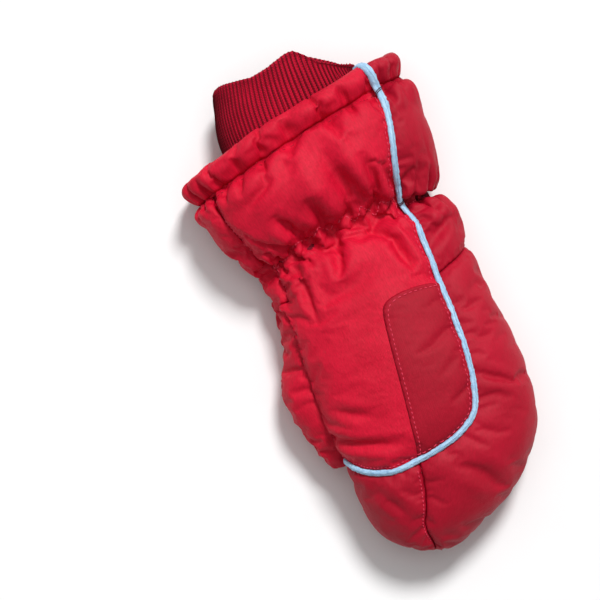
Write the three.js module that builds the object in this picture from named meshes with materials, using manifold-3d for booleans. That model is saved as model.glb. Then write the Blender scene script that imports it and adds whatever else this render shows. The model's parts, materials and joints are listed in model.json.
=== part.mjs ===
// A child's insulated ski mitten for the left hand, lying on its palm: padded shell, piped seams,
// gathered wrist, rolled hem, thumb, lining and a ribbed storm cuff.
// Millimetres. +Z up through the back of the hand, +Y from the fingertips to the cuff, and the
// origin on the flat of the palm under the middle of the hand.
import * as THREE from "three";
import { mergeVertices } from "three/addons/utils/BufferGeometryUtils.js";
import Module from "manifold-3d";

const wasm = await Module();
wasm.setup();

// ---------------------------------------------------------------- driving dimensions
const DEG = Math.PI / 180;
const WRIST = { x: -12.4, y: 80.6, z: 15, turn: 12 * DEG }; // middle of the gathered line
const CUFF_TURN = 17 * DEG; // the gauntlet leans to the thumb side by this much
const CUFF_LENGTH = 60; // gathered line to the sides of the rolled edge
const FINGER_ROUND_FROM = -20; // y where the rounded fingertip end begins
const FINGER_ROUND_LENGTH = 64.6;
const FINGER_ROUND_POWER = 1.72; // how full the rounded end is: 2 is an ellipse
const PALM_HEIGHT = 20; // height of the widest line of the hand
const HAND_HEIGHT = 50;
const HAND_LEFT = 50;
const HAND_RIGHT = 54;

const CENTRE = { x: -17.9, y: 44.3 }; // middle of the whole mitten, which becomes the origin
const GAP = 0.45; // between neighbouring pieces
const FABRIC = 1.0; // shell fabric with its backing
const PATCH_FABRIC = 0.8;
const PADDING = 4.4; // polyester wadding
const LINING = 1.1; // brushed lining
const ELASTIC = 1; // the wrist's elastic band
const HEM_PROUD = 1; // the rolled hem stands this far outside the shell
const PADDING_INSET = FABRIC + GAP;
const LINING_INSET = PADDING_INSET + PADDING + 0.8;
const CAVITY_INSET = LINING_INSET + LINING;
const SIDE_SEAM_HEIGHT = 18; // the back meets the palm at this height on the thumb side
const PIPING_RADIUS = 1.8;
const PIPING_LIFT = 1.4; // its centre lies this far outside the shell
const PALM_SEAM_IN = 15; // the palm's edge runs this far inside the outline

const THUMB_PIVOT = { x: -45, y: 40 };
const THUMB_CLEARANCE = 2.6; // between the thumb and the hollow in the hand's side
const PRESS_SPREAD = 1.35; // the hollow reaches this much farther up and down than the thumb
const THUMB_SOCKET = 21; // radius of the thumb's opening in the hand
const THUMB_TIP_X = -51.6; // where its rounded end begins
const THUMB_ROUND_FROM = -5;
const THUMB_ROUND_LENGTH = 30;
const THUMB_ROUND_POWER = 1.4;
const THUMB_ROUND_LEAN = 4.5; // its tip lies this much nearer to the hand
const THUMB_HALF = 16.5; // half the thumb's width at the start of its rounded end
const THUMB_FULL = 14; // half-width above which the thumb is at its full thickness
const THUMB_HEIGHT = 14.5; // half the thumb's thickness
const THUMB_LEVEL = 15.5; // height of the thumb's axis
const THUMB_THINNER = 1; // the thumb's wadding is this much thinner than the hand's

const WRIST_FOLD_UP = 25 * DEG;
const WRIST_FOLD_DOWN = 20 * DEG;

const KNIT = { width: 74, height: 26, wall: 2.2, inside: 36, outside: 27, turn: 13 * DEG };
const KNIT_LOW = 20.6; // height of its axis at the inner end
const KNIT_RISE = 2.6; // and how much higher the axis is at the outer end
const KNIT_TAPER = 0.1; // share of its height lost by the outer end
const KNIT_PINCH = { depth: 3, over: 0.3 }; // its sewn inner end is flatter, over this share of its length

const COLUMNS = 26; // facets around the mitten
const THUMB_COLUMNS = 16;
const PIPING_STEPS = { hand: 44, cuff: 14 };

// ---------------------------------------------------------------- shape of the mitten
// Cross-sections from the start of the rounded end to the hem: centre of the section, its turn
// about Z, half-widths to the left and right, heights of the widest line and of the top, and how
// far the middle of the section runs ahead of its ends.
const cuffPoint = (along) => ({
  x: WRIST.x - along * Math.sin(CUFF_TURN),
  y: WRIST.y + along * Math.cos(CUFF_TURN),
});
const SECTIONS = [
  { x: 0, y: -20, turn: 0, left: HAND_LEFT, right: HAND_RIGHT, mid: 20, top: 50, bow: 0 },
  { x: 0, y: 5, turn: 0, left: 51.5, right: 53, mid: 20, top: 50, bow: 0 },
  { x: 0, y: 30, turn: 0, left: 53, right: 48.5, mid: 20, top: 47, bow: 0 },
  { x: -2, y: 54, turn: 3 * DEG, left: 55, right: 44, mid: 19, top: 42, bow: 0 },
  { x: -8, y: 70, turn: 8 * DEG, left: 54, right: 43.5, mid: 17, top: 34, bow: 0 },
  { ...WRIST, left: 50, right: 43, mid: 15, top: 30, bow: 0 },
  { ...cuffPoint(9), turn: 15 * DEG, left: 56, right: 49, mid: 17, top: 36, bow: 0 },
  { ...cuffPoint(22), turn: CUFF_TURN, left: 60, right: 58, mid: 21, top: 50, bow: 1 },
  { ...cuffPoint(40), turn: CUFF_TURN, left: 60, right: 61.5, mid: 22, top: 52, bow: 4 },
  { ...cuffPoint(CUFF_LENGTH), turn: CUFF_TURN, left: 61.5, right: 63, mid: 22, top: 46, bow: 10 },
];
const WRIST_V = 5; // position of the gathered line in the table
const HEM_V = 8.35; // position of the hem's stitching
const EDGE_V = SECTIONS.length - 1;

// Smooth value of one column of a table of sections at position v.
function along(table, column, v) {
  const i = Math.min(Math.max(Math.floor(v), 0), table.length - 2);
  const at = (k) => table[Math.min(Math.max(k, 0), table.length - 1)][column];
  const t = v - i;
  const slopeIn = (at(i + 1) - at(i - 1)) / 2;
  const slopeOut = (at(i + 2) - at(i)) / 2;
  const t2 = t * t;
  const t3 = t2 * t;
  return (
    (2 * t3 - 3 * t2 + 1) * at(i) +
    (t3 - 2 * t2 + t) * slopeIn +
    (3 * t2 - 2 * t3) * at(i + 1) +
    (t3 - t2) * slopeOut
  );
}

// The section of the mitten at v, drawn in by inset. v runs from -1 at the fingertip through 0
// at the start of the table to EDGE_V at the cuff's edge.
function sectionAt(v, inset) {
  if (v >= 0) {
    const value = (column) => along(SECTIONS, column, v);
    return {
      x: value("x"),
      y: value("y"),
      turn: value("turn"),
      left: value("left") - inset,
      right: value("right") - inset,
      mid: value("mid"),
      top: value("top") - inset,
      bottom: Math.max(inset, 0),
      bow: value("bow"),
    };
  }
  const lean = -v * (Math.PI / 2);
  const share = Math.max(Math.cos(lean), 0);
  const t = Math.sin(lean) ** (2 / FINGER_ROUND_POWER);
  const mid = PALM_HEIGHT - 3 * t;
  return {
    x: 12 * t - 26 * t * t,
    y: FINGER_ROUND_FROM - (FINGER_ROUND_LENGTH - inset) * t,
    turn: 0,
    left: (HAND_LEFT - inset) * share,
    right: (HAND_RIGHT - inset) * share,
    mid,
    top: mid + (HAND_HEIGHT - PALM_HEIGHT - inset) * share ** 0.8,
    bottom: mid - (mid - inset) * share ** 0.45,
    bow: 0,
  };
}

const power = (value, exponent) => Math.sign(value) * Math.abs(value) ** exponent;

// Thumb sections, from inside the hand to the start of its rounded end.
const THUMB = [
  { x: -45.5, y: 55, half: 10.5 },
  { x: -45, y: 50, half: 14 },
  { x: -46.5, y: 35, half: 16.5 },
  { x: -52, y: 14, half: 17 },
  { x: THUMB_TIP_X, y: THUMB_ROUND_FROM, half: THUMB_HALF },
];

function thumbSectionAt(v, inset) {
  if (v >= 0) {
    const value = (column) => along(THUMB, column, THUMB.length - 1 - v);
    const half = value("half");
    const rise = THUMB_HEIGHT * Math.min(1, half / THUMB_FULL);
    return { x: value("x"), y: value("y"), half: half - inset, rise: rise - inset };
  }
  const lean = -v * (Math.PI / 2);
  const share = Math.max(Math.cos(lean), 0);
  const t = Math.sin(lean) ** THUMB_ROUND_POWER;
  return {
    x: THUMB_TIP_X + THUMB_ROUND_LEAN * t,
    y: THUMB_ROUND_FROM - (THUMB_ROUND_LENGTH - inset) * t,
    half: (THUMB_HALF - inset) * share,
    rise: (THUMB_HEIGHT - inset) * share ** 0.8,
  };
}

function thumbPoint(angle, v, inset) {
  const s = thumbSectionAt(v, inset);
  return new THREE.Vector3(
    s.x + s.half * Math.cos(angle),
    s.y,
    THUMB_LEVEL + s.rise * Math.sin(angle),
  );
}

// How far the hand's side is pressed in where the thumb lies against it.
function thumbPress(point) {
  const v = thumbRowAt(point.y);
  if (v === null) return 0;
  const { x, half, rise } = thumbSectionAt(v, -THUMB_CLEARANCE);
  const level = (point.z - THUMB_LEVEL) / (PRESS_SPREAD * rise);
  if (Math.abs(level) >= 1) return 0;
  const nearest = x + half * Math.sqrt(1 - level * level);
  return Math.max(nearest - point.x, 0) * THREE.MathUtils.smoothstep(50 - point.y, 0, 20);
}

// The thumb's row that lies at y, or null past its tip.
function thumbRowAt(y) {
  const t = (THUMB_ROUND_FROM - y) / (THUMB_ROUND_LENGTH + THUMB_CLEARANCE);
  if (t >= 1) return null;
  if (t > 0) return -Math.asin(t ** (1 / THUMB_ROUND_POWER)) / (Math.PI / 2);
  const after = THUMB.findIndex((s) => s.y < y);
  if (after === 0) return THUMB.length - 1;
  const [a, b] = [THUMB[after - 1], THUMB[after]];
  return THUMB.length - 1 - (after - 1 + (a.y - y) / (a.y - b.y));
}

function unpressedPoint(angle, v, inset) {
  const s = sectionAt(v, inset);
  const c = Math.cos(angle);
  const n = Math.sin(angle);
  const half = c < 0 ? s.left : s.right;
  const side = half * power(c, 0.84);
  const ahead = s.bow * (1 - Math.min(1, (side / Math.max(half, 1)) ** 2));
  const upper = s.mid + (s.top - s.mid) * power(n, 0.86);
  const lower = s.mid + (s.mid - s.bottom) * 1.15 * power(n, 0.7);
  const z = n > 0 ? upper : lower;
  return new THREE.Vector3(
    s.x + side * Math.cos(s.turn) - ahead * Math.sin(s.turn),
    s.y + side * Math.sin(s.turn) + ahead * Math.cos(s.turn),
    Math.max(z, s.bottom),
  );
}

function mittenPoint(angle, v, inset) {
  const point = unpressedPoint(angle, v, inset);
  point.x += thumbPress(unpressedPoint(angle, v, 0));
  return point;
}

// ---------------------------------------------------------------- solids
const RUN = 400; // longer than the mitten, for cutting shapes
const EVERYWHERE = [
  [-RUN, -RUN],
  [RUN, -RUN],
  [RUN, RUN],
  [-RUN, RUN],
];

function solidFrom(geometry) {
  const bare = geometry.index ? geometry.clone() : geometry;
  bare.deleteAttribute("normal");
  bare.deleteAttribute("uv");
  const merged = mergeVertices(bare, 1e-4);
  return new wasm.Manifold(
    new wasm.Mesh({
      numProp: 3,
      vertProperties: merged.attributes.position.array,
      triVerts: new Uint32Array(merged.index.array),
    }),
  );
}

function geometryFrom(solid) {
  const mesh = solid.getMesh();
  return new THREE.BufferGeometry()
    .setAttribute("position", new THREE.BufferAttribute(mesh.vertProperties, 3))
    .setIndex(new THREE.BufferAttribute(mesh.triVerts, 1))
    .toNonIndexed();
}

// The main body of a cut, without the slivers that a cut leaves along a seam.
const largest = (solid) => solid.decompose().sort((a, b) => b.volume() - a.volume())[0];

// A bag or tube with a wall: surface(angle, v, inset) between two insets, over the rows given.
// Where the first row is -1 the end is closed in a point, and otherwise it is open.
function walledTube(surface, outerInset, innerInset, rows, columns = COLUMNS) {
  const closed = rows[0] === -1;
  const points = [];
  const faces = [];
  const ringRows = closed ? rows.slice(1) : rows;
  for (const inset of [outerInset, innerInset])
    for (const v of ringRows)
      for (let j = 0; j < columns; j++) points.push(surface((2 * Math.PI * j) / columns, v, inset));
  const at = (layer, i, j) => (layer * ringRows.length + i) * columns + (j % columns);
  const quad = (a, b, c, d) => faces.push(a, b, c, a, c, d);
  const last = ringRows.length - 1;
  for (let j = 0; j < columns; j++) {
    for (let i = 0; i < last; i++) {
      quad(at(0, i, j), at(0, i, j + 1), at(0, i + 1, j + 1), at(0, i + 1, j));
      quad(at(1, i, j), at(1, i + 1, j), at(1, i + 1, j + 1), at(1, i, j + 1));
    }
    quad(at(0, last, j), at(0, last, j + 1), at(1, last, j + 1), at(1, last, j));
    if (!closed) quad(at(0, 0, j), at(1, 0, j), at(1, 0, j + 1), at(0, 0, j + 1));
  }
  if (closed) {
    points.push(surface(0, -1, outerInset), surface(0, -1, innerInset));
    const [outerTip, innerTip] = [points.length - 2, points.length - 1];
    for (let j = 0; j < columns; j++) {
      faces.push(outerTip, at(0, 0, j + 1), at(0, 0, j));
      faces.push(innerTip, at(1, 0, j), at(1, 0, j + 1));
    }
  }
  const made = new THREE.BufferGeometry().setFromPoints(points).setIndex(faces);
  const solid = solidFrom(made);
  if (solid.volume() > 0) return solid;
  const turned = faces.flatMap((_, k) => (k % 3 ? [] : [faces[k], faces[k + 2], faces[k + 1]]));
  return solidFrom(made.setIndex(turned));
}

function steps(from, to, count) {
  return Array.from({ length: count + 1 }, (_, i) => from + ((to - from) * i) / count);
}

const FINGER_ROWS = steps(-1, 0, 7);
const HAND_ROWS = [...FINGER_ROWS, ...steps(0.8, WRIST_V + 0.6, 6)];
const CUFF_ROWS = [WRIST_V - 0.6, WRIST_V, 5.5, 6.1, 6.9, HEM_V];
const HEM_GAP_V = 0.03; // the hem starts this much of a section beyond its stitching
const HEM_ROWS = steps(HEM_V, EDGE_V, 2).map((v) => Math.max(v, HEM_V + HEM_GAP_V));

const shapeFrom = (points) => new THREE.Shape(points.map(([x, y]) => new THREE.Vector2(x, y)));

// An upright cutting block with the outline given in plan, from z0 to z1.
function block(outline, z0 = -RUN, z1 = RUN) {
  const drawn = Array.isArray(outline) ? shapeFrom(outline) : outline;
  const depth = z1 - z0;
  const made = new THREE.ExtrudeGeometry(drawn, { depth, bevelEnabled: false, curveSegments: 6 });
  return solidFrom(made.translate(0, 0, z0));
}

// What one side of the wrist has to leave free, so that the gauntlet can fold up and down on
// the hand: a wedge on each side of the wrist's axis. side is -1 for the hand, 1 for the cuff.
function wristCutter(side) {
  const spare = 1 * DEG;
  const upper = Math.tan(WRIST_FOLD_UP / 2 + spare) * RUN;
  const lower = Math.tan(WRIST_FOLD_DOWN / 2 + spare) * RUN;
  const clear = GAP / 2;
  const profile = shapeFrom([
    [side * clear, 0],
    [side * (clear + upper), RUN],
    [-side * RUN, RUN],
    [-side * RUN, -RUN],
    [side * (clear + lower), -RUN],
  ]);
  const made = new THREE.ExtrudeGeometry(profile, { depth: 2 * RUN, bevelEnabled: false });
  made.translate(0, 0, -RUN);
  // profile x runs along the mitten, profile y runs up, and the depth runs along the wrist's axis
  const basis = new THREE.Matrix4().makeBasis(
    new THREE.Vector3(-Math.sin(WRIST.turn), Math.cos(WRIST.turn), 0),
    new THREE.Vector3(0, 0, 1),
    new THREE.Vector3(Math.cos(WRIST.turn), Math.sin(WRIST.turn), 0),
  );
  made.applyMatrix4(basis).translate(WRIST.x, WRIST.y, WRIST.z);
  return solidFrom(made);
}

// ---------------------------------------------------------------- pattern outlines in plan
const PIPING_LINE = [
  [12, 165],
  [15.2, 150],
  [16, 125],
  [14.8, 98],
  [15, 87],
  [22, 49],
  [25.4, 5],
  [24.5, -16],
  [17, -26.5],
  [-6, -36.7],
  [-28, -39.6],
  [-42, -37],
  [-60, -28],
];
const pipingKnots = PIPING_LINE.map(([x, y]) => new THREE.Vector3(x, y, 0));
const pipingCurve = new THREE.CatmullRomCurve3(pipingKnots, false, "centripetal");
const pipingPlan = pipingCurve.getPoints(PIPING_STEPS.hand).map((p) => [p.x, p.y]);

const PIPING_TOP = PIPING_LINE[0];
const PIPING_END = PIPING_LINE[PIPING_LINE.length - 1];
const BACK_OUTLINE = [[-RUN, RUN], [PIPING_TOP[0], RUN], ...pipingPlan, [-RUN, PIPING_END[1]]];
const TIP_SEAM = [
  [-10.5, -38],
  [-13, -66],
  [-22, -90],
];
const CROSS_SEAM = [
  [18, 47.5],
  [45, 59.5],
];
// Plan of the palm's part of the gauntlet, to its seam with the side panel.
const CUFF_PALM = [
  [-RUN, -RUN],
  [24, -RUN],
  [14, RUN],
  [-RUN, RUN],
];
// Plan and half-height of the strip along the gauntlet's thumb side.
const STRIP_OUTLINE = [
  [-RUN, -RUN],
  [-30, -RUN],
  [-60, RUN],
  [-RUN, RUN],
];
const STRIP_ABOVE = 6; // the strip runs this far above the side seam
const STRIP_BELOW = 8; // and this far below it
const STRIP_END = -20; // x beyond which the strip has no part

const PALM_SIDE = [
  [36, 30],
  [30, 60],
  [24, 95],
  [14, 190],
];

function palmOutline() {
  const points = [];
  const rim = sectionAt(0, PALM_SEAM_IN);
  for (const v of steps(-1, 0, 8)) {
    const s = sectionAt(v, PALM_SEAM_IN);
    points.push([s.x + (s.right / rim.right) * (HAND_RIGHT - PALM_SEAM_IN), s.y]);
  }
  points.push(...PALM_SIDE, [-RUN, PALM_SIDE[3][1]], [-RUN, -30]);
  for (const v of steps(-0.25, -0.9, 6)) {
    const s = sectionAt(v, PALM_SEAM_IN);
    points.push([s.x - s.left, s.y]);
  }
  return points;
}

// Patch on the little-finger side of the back: straight thumb-side edge, rounded upper corner.
function patchOutline() {
  const [left, top, corner, inside] = [-9.5, 44, 9, 3.2];
  const shape = new THREE.Shape();
  const lower = pipingPlan.filter(([x, y]) => y < top + 4 && y > -38 && x > left + 2);
  shape.moveTo(left, top - corner);
  shape.absarc(left + corner, top - corner, corner, Math.PI, Math.PI / 2, true);
  for (const [x, y] of lower) {
    if (y > -12) shape.lineTo(x - inside, Math.min(y, top + 1.5));
    else shape.lineTo(Math.min(x - 1, 20), y + inside + 0.5);
  }
  shape.lineTo(left, -34);
  return shape;
}

// ---------------------------------------------------------------- assembly
const mitten = new THREE.Group();
const FINISH = {
  shell: { color: 0xc51f3a, roughness: 0.72, metalness: 0 },
  panel: { color: 0xa9152e, roughness: 0.62, metalness: 0 },
  piping: { color: 0x8fb0cd, roughness: 0.45, metalness: 0 },
  knit: { color: 0x9a0f26, roughness: 0.95, metalness: 0 },
  lining: { color: 0x8e1226, roughness: 0.9, metalness: 0 },
  padding: { color: 0xe9e7e2, roughness: 1, metalness: 0 },
  elastic: { color: 0xd9d6d0, roughness: 0.85, metalness: 0 },
};

function add(name, finish, shape) {
  const geometry = shape.isBufferGeometry ? shape : geometryFrom(largest(shape));
  const mesh = new THREE.Mesh(geometry, new THREE.MeshStandardMaterial(FINISH[finish]));
  mesh.name = name;
  mitten.add(mesh);
}

const socket = solidFrom(
  new THREE.SphereGeometry(THUMB_SOCKET, 20, 14).translate(THUMB_PIVOT.x, THUMB_PIVOT.y, THUMB_LEVEL),
);
const handCutter = wristCutter(-1);
const cuffCutter = wristCutter(1);
const above = block(EVERYWHERE, SIDE_SEAM_HEIGHT + GAP / 2);
const below = block(EVERYWHERE, -RUN, SIDE_SEAM_HEIGHT - GAP / 2);

// The plan of everything on the right of a line from a to b.
function rightOf([a, b]) {
  const far = RUN / Math.hypot(b[0] - a[0], b[1] - a[1]);
  const dx = (b[0] - a[0]) * far;
  const dy = (b[1] - a[1]) * far;
  const p = [a[0] - dx, a[1] - dy];
  const q = [b[0] + dx, b[1] + dy];
  return [p, q, [q[0] + dy, q[1] - dx], [p[0] + dy, p[1] - dx]];
}

function pipingOn(rows, fromY, toY) {
  const outer = new THREE.Mesh(geometryFrom(walledTube(mittenPoint, -PIPING_LIFT, PADDING, rows)));
  const caster = new THREE.Raycaster();
  const down = new THREE.Vector3(0, 0, -1);
  const points = [];
  for (const [x, y] of pipingPlan) {
    if (y > fromY || y < toY) continue;
    caster.set(new THREE.Vector3(x, y, RUN), down);
    const hit = caster.intersectObject(outer)[0];
    if (hit) points.push(hit.point);
  }
  return new THREE.CatmullRomCurve3(points, false, "centripetal");
}

function tubeAlong(curve, radius, count, sides = 8) {
  const corners = steps(0, 2 * Math.PI, sides).slice(1);
  const ring = shapeFrom(corners.map((a) => [radius * Math.cos(a), radius * Math.sin(a)]));
  const options = { steps: count, extrudePath: curve, bevelEnabled: false };
  return solidFrom(new THREE.ExtrudeGeometry(ring, options));
}

const HAND_PIPING_TO = 77; // y where the hand's piping ends at the wrist
const CUFF_PIPING_FROM = 92;
const handPiping = pipingOn(HAND_ROWS, HAND_PIPING_TO, -RUN);
const cuffPiping = pipingOn([...CUFF_ROWS, EDGE_V], RUN, CUFF_PIPING_FROM);
const pipingRoom = tubeAlong(handPiping, PIPING_RADIUS + GAP, PIPING_STEPS.hand);
const cuffPipingRoom = tubeAlong(cuffPiping, PIPING_RADIUS + GAP, PIPING_STEPS.cuff);

function addHandShell() {
  const bag = walledTube(mittenPoint, 0, FABRIC, HAND_ROWS).subtract(handCutter).subtract(socket);
  const back = block(BACK_OUTLINE, SIDE_SEAM_HEIGHT + GAP / 2);
  const palm = block(palmOutline(), -RUN, SIDE_SEAM_HEIGHT - GAP / 2);
  const rest = bag
    .subtract(back.translate([0, 0, -GAP]))
    .subtract(palm.translate([0, 0, GAP]))
    .subtract(pipingRoom);
  const crossing = block(rightOf(CROSS_SEAM));
  const tipRight = block([...TIP_SEAM, [-30, -RUN], [RUN, -RUN], [RUN, 100], [TIP_SEAM[0][0], 100]]);
  add("back_panel_hand", "shell", bag.intersect(back).subtract(pipingRoom));
  add("palm_panel_hand", "panel", bag.intersect(palm));
  add("side_panel_upper", "shell", rest.intersect(tipRight).subtract(crossing));
  const belowCrossing = crossing.translate([0, -GAP, 0]);
  add("side_and_finger_panel", "panel", rest.intersect(tipRight).intersect(belowCrossing));
  add("fingertip_panel", "panel", rest.subtract(tipRight.translate([-GAP, 0, 0])));
  add("piping_hand", "piping", tubeAlong(handPiping, PIPING_RADIUS, PIPING_STEPS.hand));
  const patchLayer = walledTube(mittenPoint, -GAP - PATCH_FABRIC, -GAP, HAND_ROWS);
  const patch = patchLayer.intersect(block(patchOutline(), PALM_HEIGHT));
  add("knuckle_patch", "panel", patch.subtract(pipingRoom));
}

// The elastic behind the gathered line, or with grow the room that the wadding leaves for it.
function elasticBand(grow) {
  const rows = steps(WRIST_V - 0.75 - grow * 0.1, WRIST_V + 0.2, 3);
  const inner = PADDING_INSET + ELASTIC + grow;
  return walledTube(mittenPoint, PADDING_INSET - grow, inner, rows)
    .intersect(above.translate([0, 0, -grow]))
    .subtract(handCutter.translate([0, grow * 3, 0]));
}

function addHandInside() {
  const padding = walledTube(mittenPoint, PADDING_INSET, PADDING_INSET + PADDING, HAND_ROWS)
    .subtract(handCutter)
    .subtract(socket);
  add("padding_back_hand", "padding", padding.intersect(above).subtract(elasticBand(GAP)));
  add("padding_palm_hand", "padding", padding.intersect(below));
  add("wrist_elastic", "elastic", elasticBand(0));
  const lining = walledTube(mittenPoint, LINING_INSET, CAVITY_INSET, HAND_ROWS);
  add("lining_hand", "lining", lining.subtract(handCutter).subtract(socket));
}

function addCuff() {
  const wall = walledTube(mittenPoint, 0, FABRIC, CUFF_ROWS).subtract(cuffCutter);
  const [stripLow, stripHigh] = [SIDE_SEAM_HEIGHT - STRIP_BELOW, SIDE_SEAM_HEIGHT + STRIP_ABOVE];
  const back = block(BACK_OUTLINE, stripHigh);
  const palm = block(CUFF_PALM, -RUN, SIDE_SEAM_HEIGHT);
  const strip = block(STRIP_OUTLINE, stripLow + GAP, stripHigh - GAP);
  add("back_panel_cuff", "shell", wall.intersect(back).subtract(cuffPipingRoom));
  add("thumb_side_gusset", "shell", wall.intersect(strip));
  const underStrip = block([[-RUN, 0], [STRIP_END, 0], [STRIP_END, RUN], [-RUN, RUN]], -RUN, stripLow);
  const besideStrip = block([[STRIP_END, -RUN], [RUN, -RUN], [RUN, RUN], [STRIP_END, RUN]]);
  const palmPart = wall.intersect(palm).subtract(strip.add(back).translate([0, 0, -GAP]));
  add("palm_panel_cuff", "shell", palmPart.intersect(underStrip.add(besideStrip)));
  const taken = back.translate([GAP, 0, 0]).add(palm.translate([GAP, 0, 0]));
  add("side_panel_cuff", "shell", wall.subtract(taken).subtract(cuffPipingRoom));
  add("piping_cuff", "piping", tubeAlong(cuffPiping, PIPING_RADIUS, PIPING_STEPS.cuff));
}

function addCuffInside() {
  const padding = walledTube(mittenPoint, PADDING_INSET, PADDING_INSET + PADDING, CUFF_ROWS);
  add("padding_back_cuff", "padding", padding.subtract(cuffCutter).intersect(above));
  add("padding_palm_cuff", "padding", padding.subtract(cuffCutter).intersect(below));
  const lining = walledTube(mittenPoint, LINING_INSET, CAVITY_INSET, CUFF_ROWS);
  add("lining_cuff", "lining", lining.subtract(cuffCutter));
}

function addHem() {
  const ring = walledTube(mittenPoint, -HEM_PROUD, CAVITY_INSET, HEM_ROWS).subtract(cuffPipingRoom);
  const back = block(BACK_OUTLINE, SIDE_SEAM_HEIGHT);
  const palm = block(CUFF_PALM, -RUN, SIDE_SEAM_HEIGHT - GAP);
  const taken = back.translate([GAP, 0, -GAP]).add(palm.translate([GAP, 0, GAP]));
  add("hem_back", "shell", ring.intersect(back));
  add("hem_palm", "shell", ring.intersect(palm));
  add("hem_side", "shell", ring.subtract(taken));
}

function addThumb() {
  const rows = [...steps(-1, 0, 5), 1, 1.6, 2.3, 3, 3.5, 4];
  const shell = walledTube(thumbPoint, 0, FABRIC, rows, THUMB_COLUMNS);
  const [low, high] = [THUMB_LEVEL - GAP / 2, THUMB_LEVEL + GAP / 2];
  const layer = (from, to) => walledTube(thumbPoint, from, to, rows, THUMB_COLUMNS);
  add("thumb_back_panel", "shell", shell.intersect(block(EVERYWHERE, high)));
  add("thumb_palm_panel", "panel", shell.intersect(block(EVERYWHERE, -RUN, low)));
  add("thumb_padding", "padding", layer(PADDING_INSET, PADDING_INSET + PADDING - THUMB_THINNER));
  add("thumb_lining", "lining", layer(LINING_INSET - THUMB_THINNER, CAVITY_INSET - THUMB_THINNER));
}

// The storm cuff: a ribbed tube doubled over at its outer edge, sewn in at its inner end.
function addKnitCuff() {
  const start = cuffPoint(CUFF_LENGTH - KNIT.inside);
  const length = KNIT.inside + KNIT.outside;
  const knitPoint = (angle, v, inset) => {
    const wide = KNIT.width / 2 - inset;
    const pinched = KNIT_PINCH.depth * Math.max(0, 1 - v / KNIT_PINCH.over);
    const high = (KNIT.height / 2) * (1 - KNIT_TAPER * v) - inset - pinched;
    const side = wide * power(Math.cos(angle), 0.9);
    const ahead = length * v;
    return new THREE.Vector3(
      start.x + side * Math.cos(KNIT.turn) - ahead * Math.sin(KNIT.turn),
      start.y + side * Math.sin(KNIT.turn) + ahead * Math.cos(KNIT.turn),
      KNIT_LOW + KNIT_RISE * v + high * power(Math.sin(angle), 0.9),
    );
  };
  add("knit_cuff", "knit", walledTube(knitPoint, 0, KNIT.wall, [0, 0.3, 0.65, 1], 24));
}

addHandShell();
addHandInside();
addCuff();
addCuffInside();
addHem();
addThumb();
addKnitCuff();

mitten.position.set(-CENTRE.x, -CENTRE.y, 0);

export default mitten;
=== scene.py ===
"""A child's insulated ski mitten for the left hand, lying on its palm on a white table.

The padded shell is one grid of points, blown up by a cloth simulation between its seams, and every
shell piece is cut from it. Lengths are millimetres until a mesh is made, which is in metres.
"""
import json
import math

import bpy
import numpy as np
from mathutils import Matrix, Vector


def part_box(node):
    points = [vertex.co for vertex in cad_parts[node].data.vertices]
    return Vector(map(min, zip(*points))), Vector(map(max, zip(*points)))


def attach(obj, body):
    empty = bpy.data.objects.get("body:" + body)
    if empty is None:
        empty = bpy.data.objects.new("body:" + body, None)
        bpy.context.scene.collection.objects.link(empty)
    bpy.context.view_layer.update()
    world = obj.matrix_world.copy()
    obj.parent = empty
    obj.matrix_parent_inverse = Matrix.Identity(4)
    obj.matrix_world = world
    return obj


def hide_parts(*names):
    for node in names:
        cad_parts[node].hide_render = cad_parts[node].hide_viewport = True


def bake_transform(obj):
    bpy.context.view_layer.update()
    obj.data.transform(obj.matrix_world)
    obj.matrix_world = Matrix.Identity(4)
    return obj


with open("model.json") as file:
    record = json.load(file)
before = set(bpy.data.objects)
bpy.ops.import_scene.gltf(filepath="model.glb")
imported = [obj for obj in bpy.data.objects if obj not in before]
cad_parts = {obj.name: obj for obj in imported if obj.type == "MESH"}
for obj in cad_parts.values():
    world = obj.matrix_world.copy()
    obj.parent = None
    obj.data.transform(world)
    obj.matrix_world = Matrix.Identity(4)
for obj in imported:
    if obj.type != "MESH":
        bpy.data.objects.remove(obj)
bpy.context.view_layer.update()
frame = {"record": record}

JOINTS = {joint["name"]: joint for joint in frame["record"]["behaviour"]["joints"]}
WRIST = np.array(JOINTS["wrist_fold"]["pos_m"]) * 1000
KNIT_AXIS = np.array(JOINTS["knit_cuff_pull"]["axis"])
UP = np.array([0.0, 0.0, 1.0])

# ------------------------------------------------------------------ driving dimensions, mm
# Stations of the shell from the fingertip to the hem's stitching, measured from the wrist:
# thumb-side edge x, y; little-finger edge x, y; heights of the two edges and of the crown; how
# far the crown runs ahead of the edges.
STATIONS = np.array([
    [-1, -166, -1, -166, 17, 17, 18, 0],
    [-12, -162.5, 9, -165.5, 17, 17, 29, 0],
    [-23, -155, 25, -157.5, 18, 18, 36, 0],
    [-30.5, -142, 43, -144, 19, 19, 43, 0],
    [-33.5, -127, 57, -127, 22, 20, 47, 0],
    [-36, -112, 63, -112, 27, 20, 49, 0],
    [-38.5, -96, 64, -95, 31, 20, 50, 0],
    [-41, -77, 62.5, -77, 32, 20, 50, 0],
    [-42.5, -57, 58.5, -57, 31, 20, 48, 0],
    [-45, -41, 54.5, -38, 27, 19, 45, 0],
    [-49, -29, 52, -20, 22, 19, 41, 0],
    [-52, -20, 48.5, -3, 17, 17, 38, 0],
    [-54.5, -12.5, 40.6, 9, 15, 15, 34, 0],
    [-61.5, -3, 44.5, 18, 19, 18, 40, 0],
    [-70, 10, 46.5, 37, 22, 22, 50, 1],
    [-75, 21, 44.8, 54, 22, 22, 51, 1.5],
    [-77.5, 29, 42, 69, 22, 22, 47, 2],
])
WRIST_STATION = 12
HEM_AHEAD = np.array([-0.26, 0.966, 0.0])  # the way that the gauntlet points
HEM_WIDTH = 13.4
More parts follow.
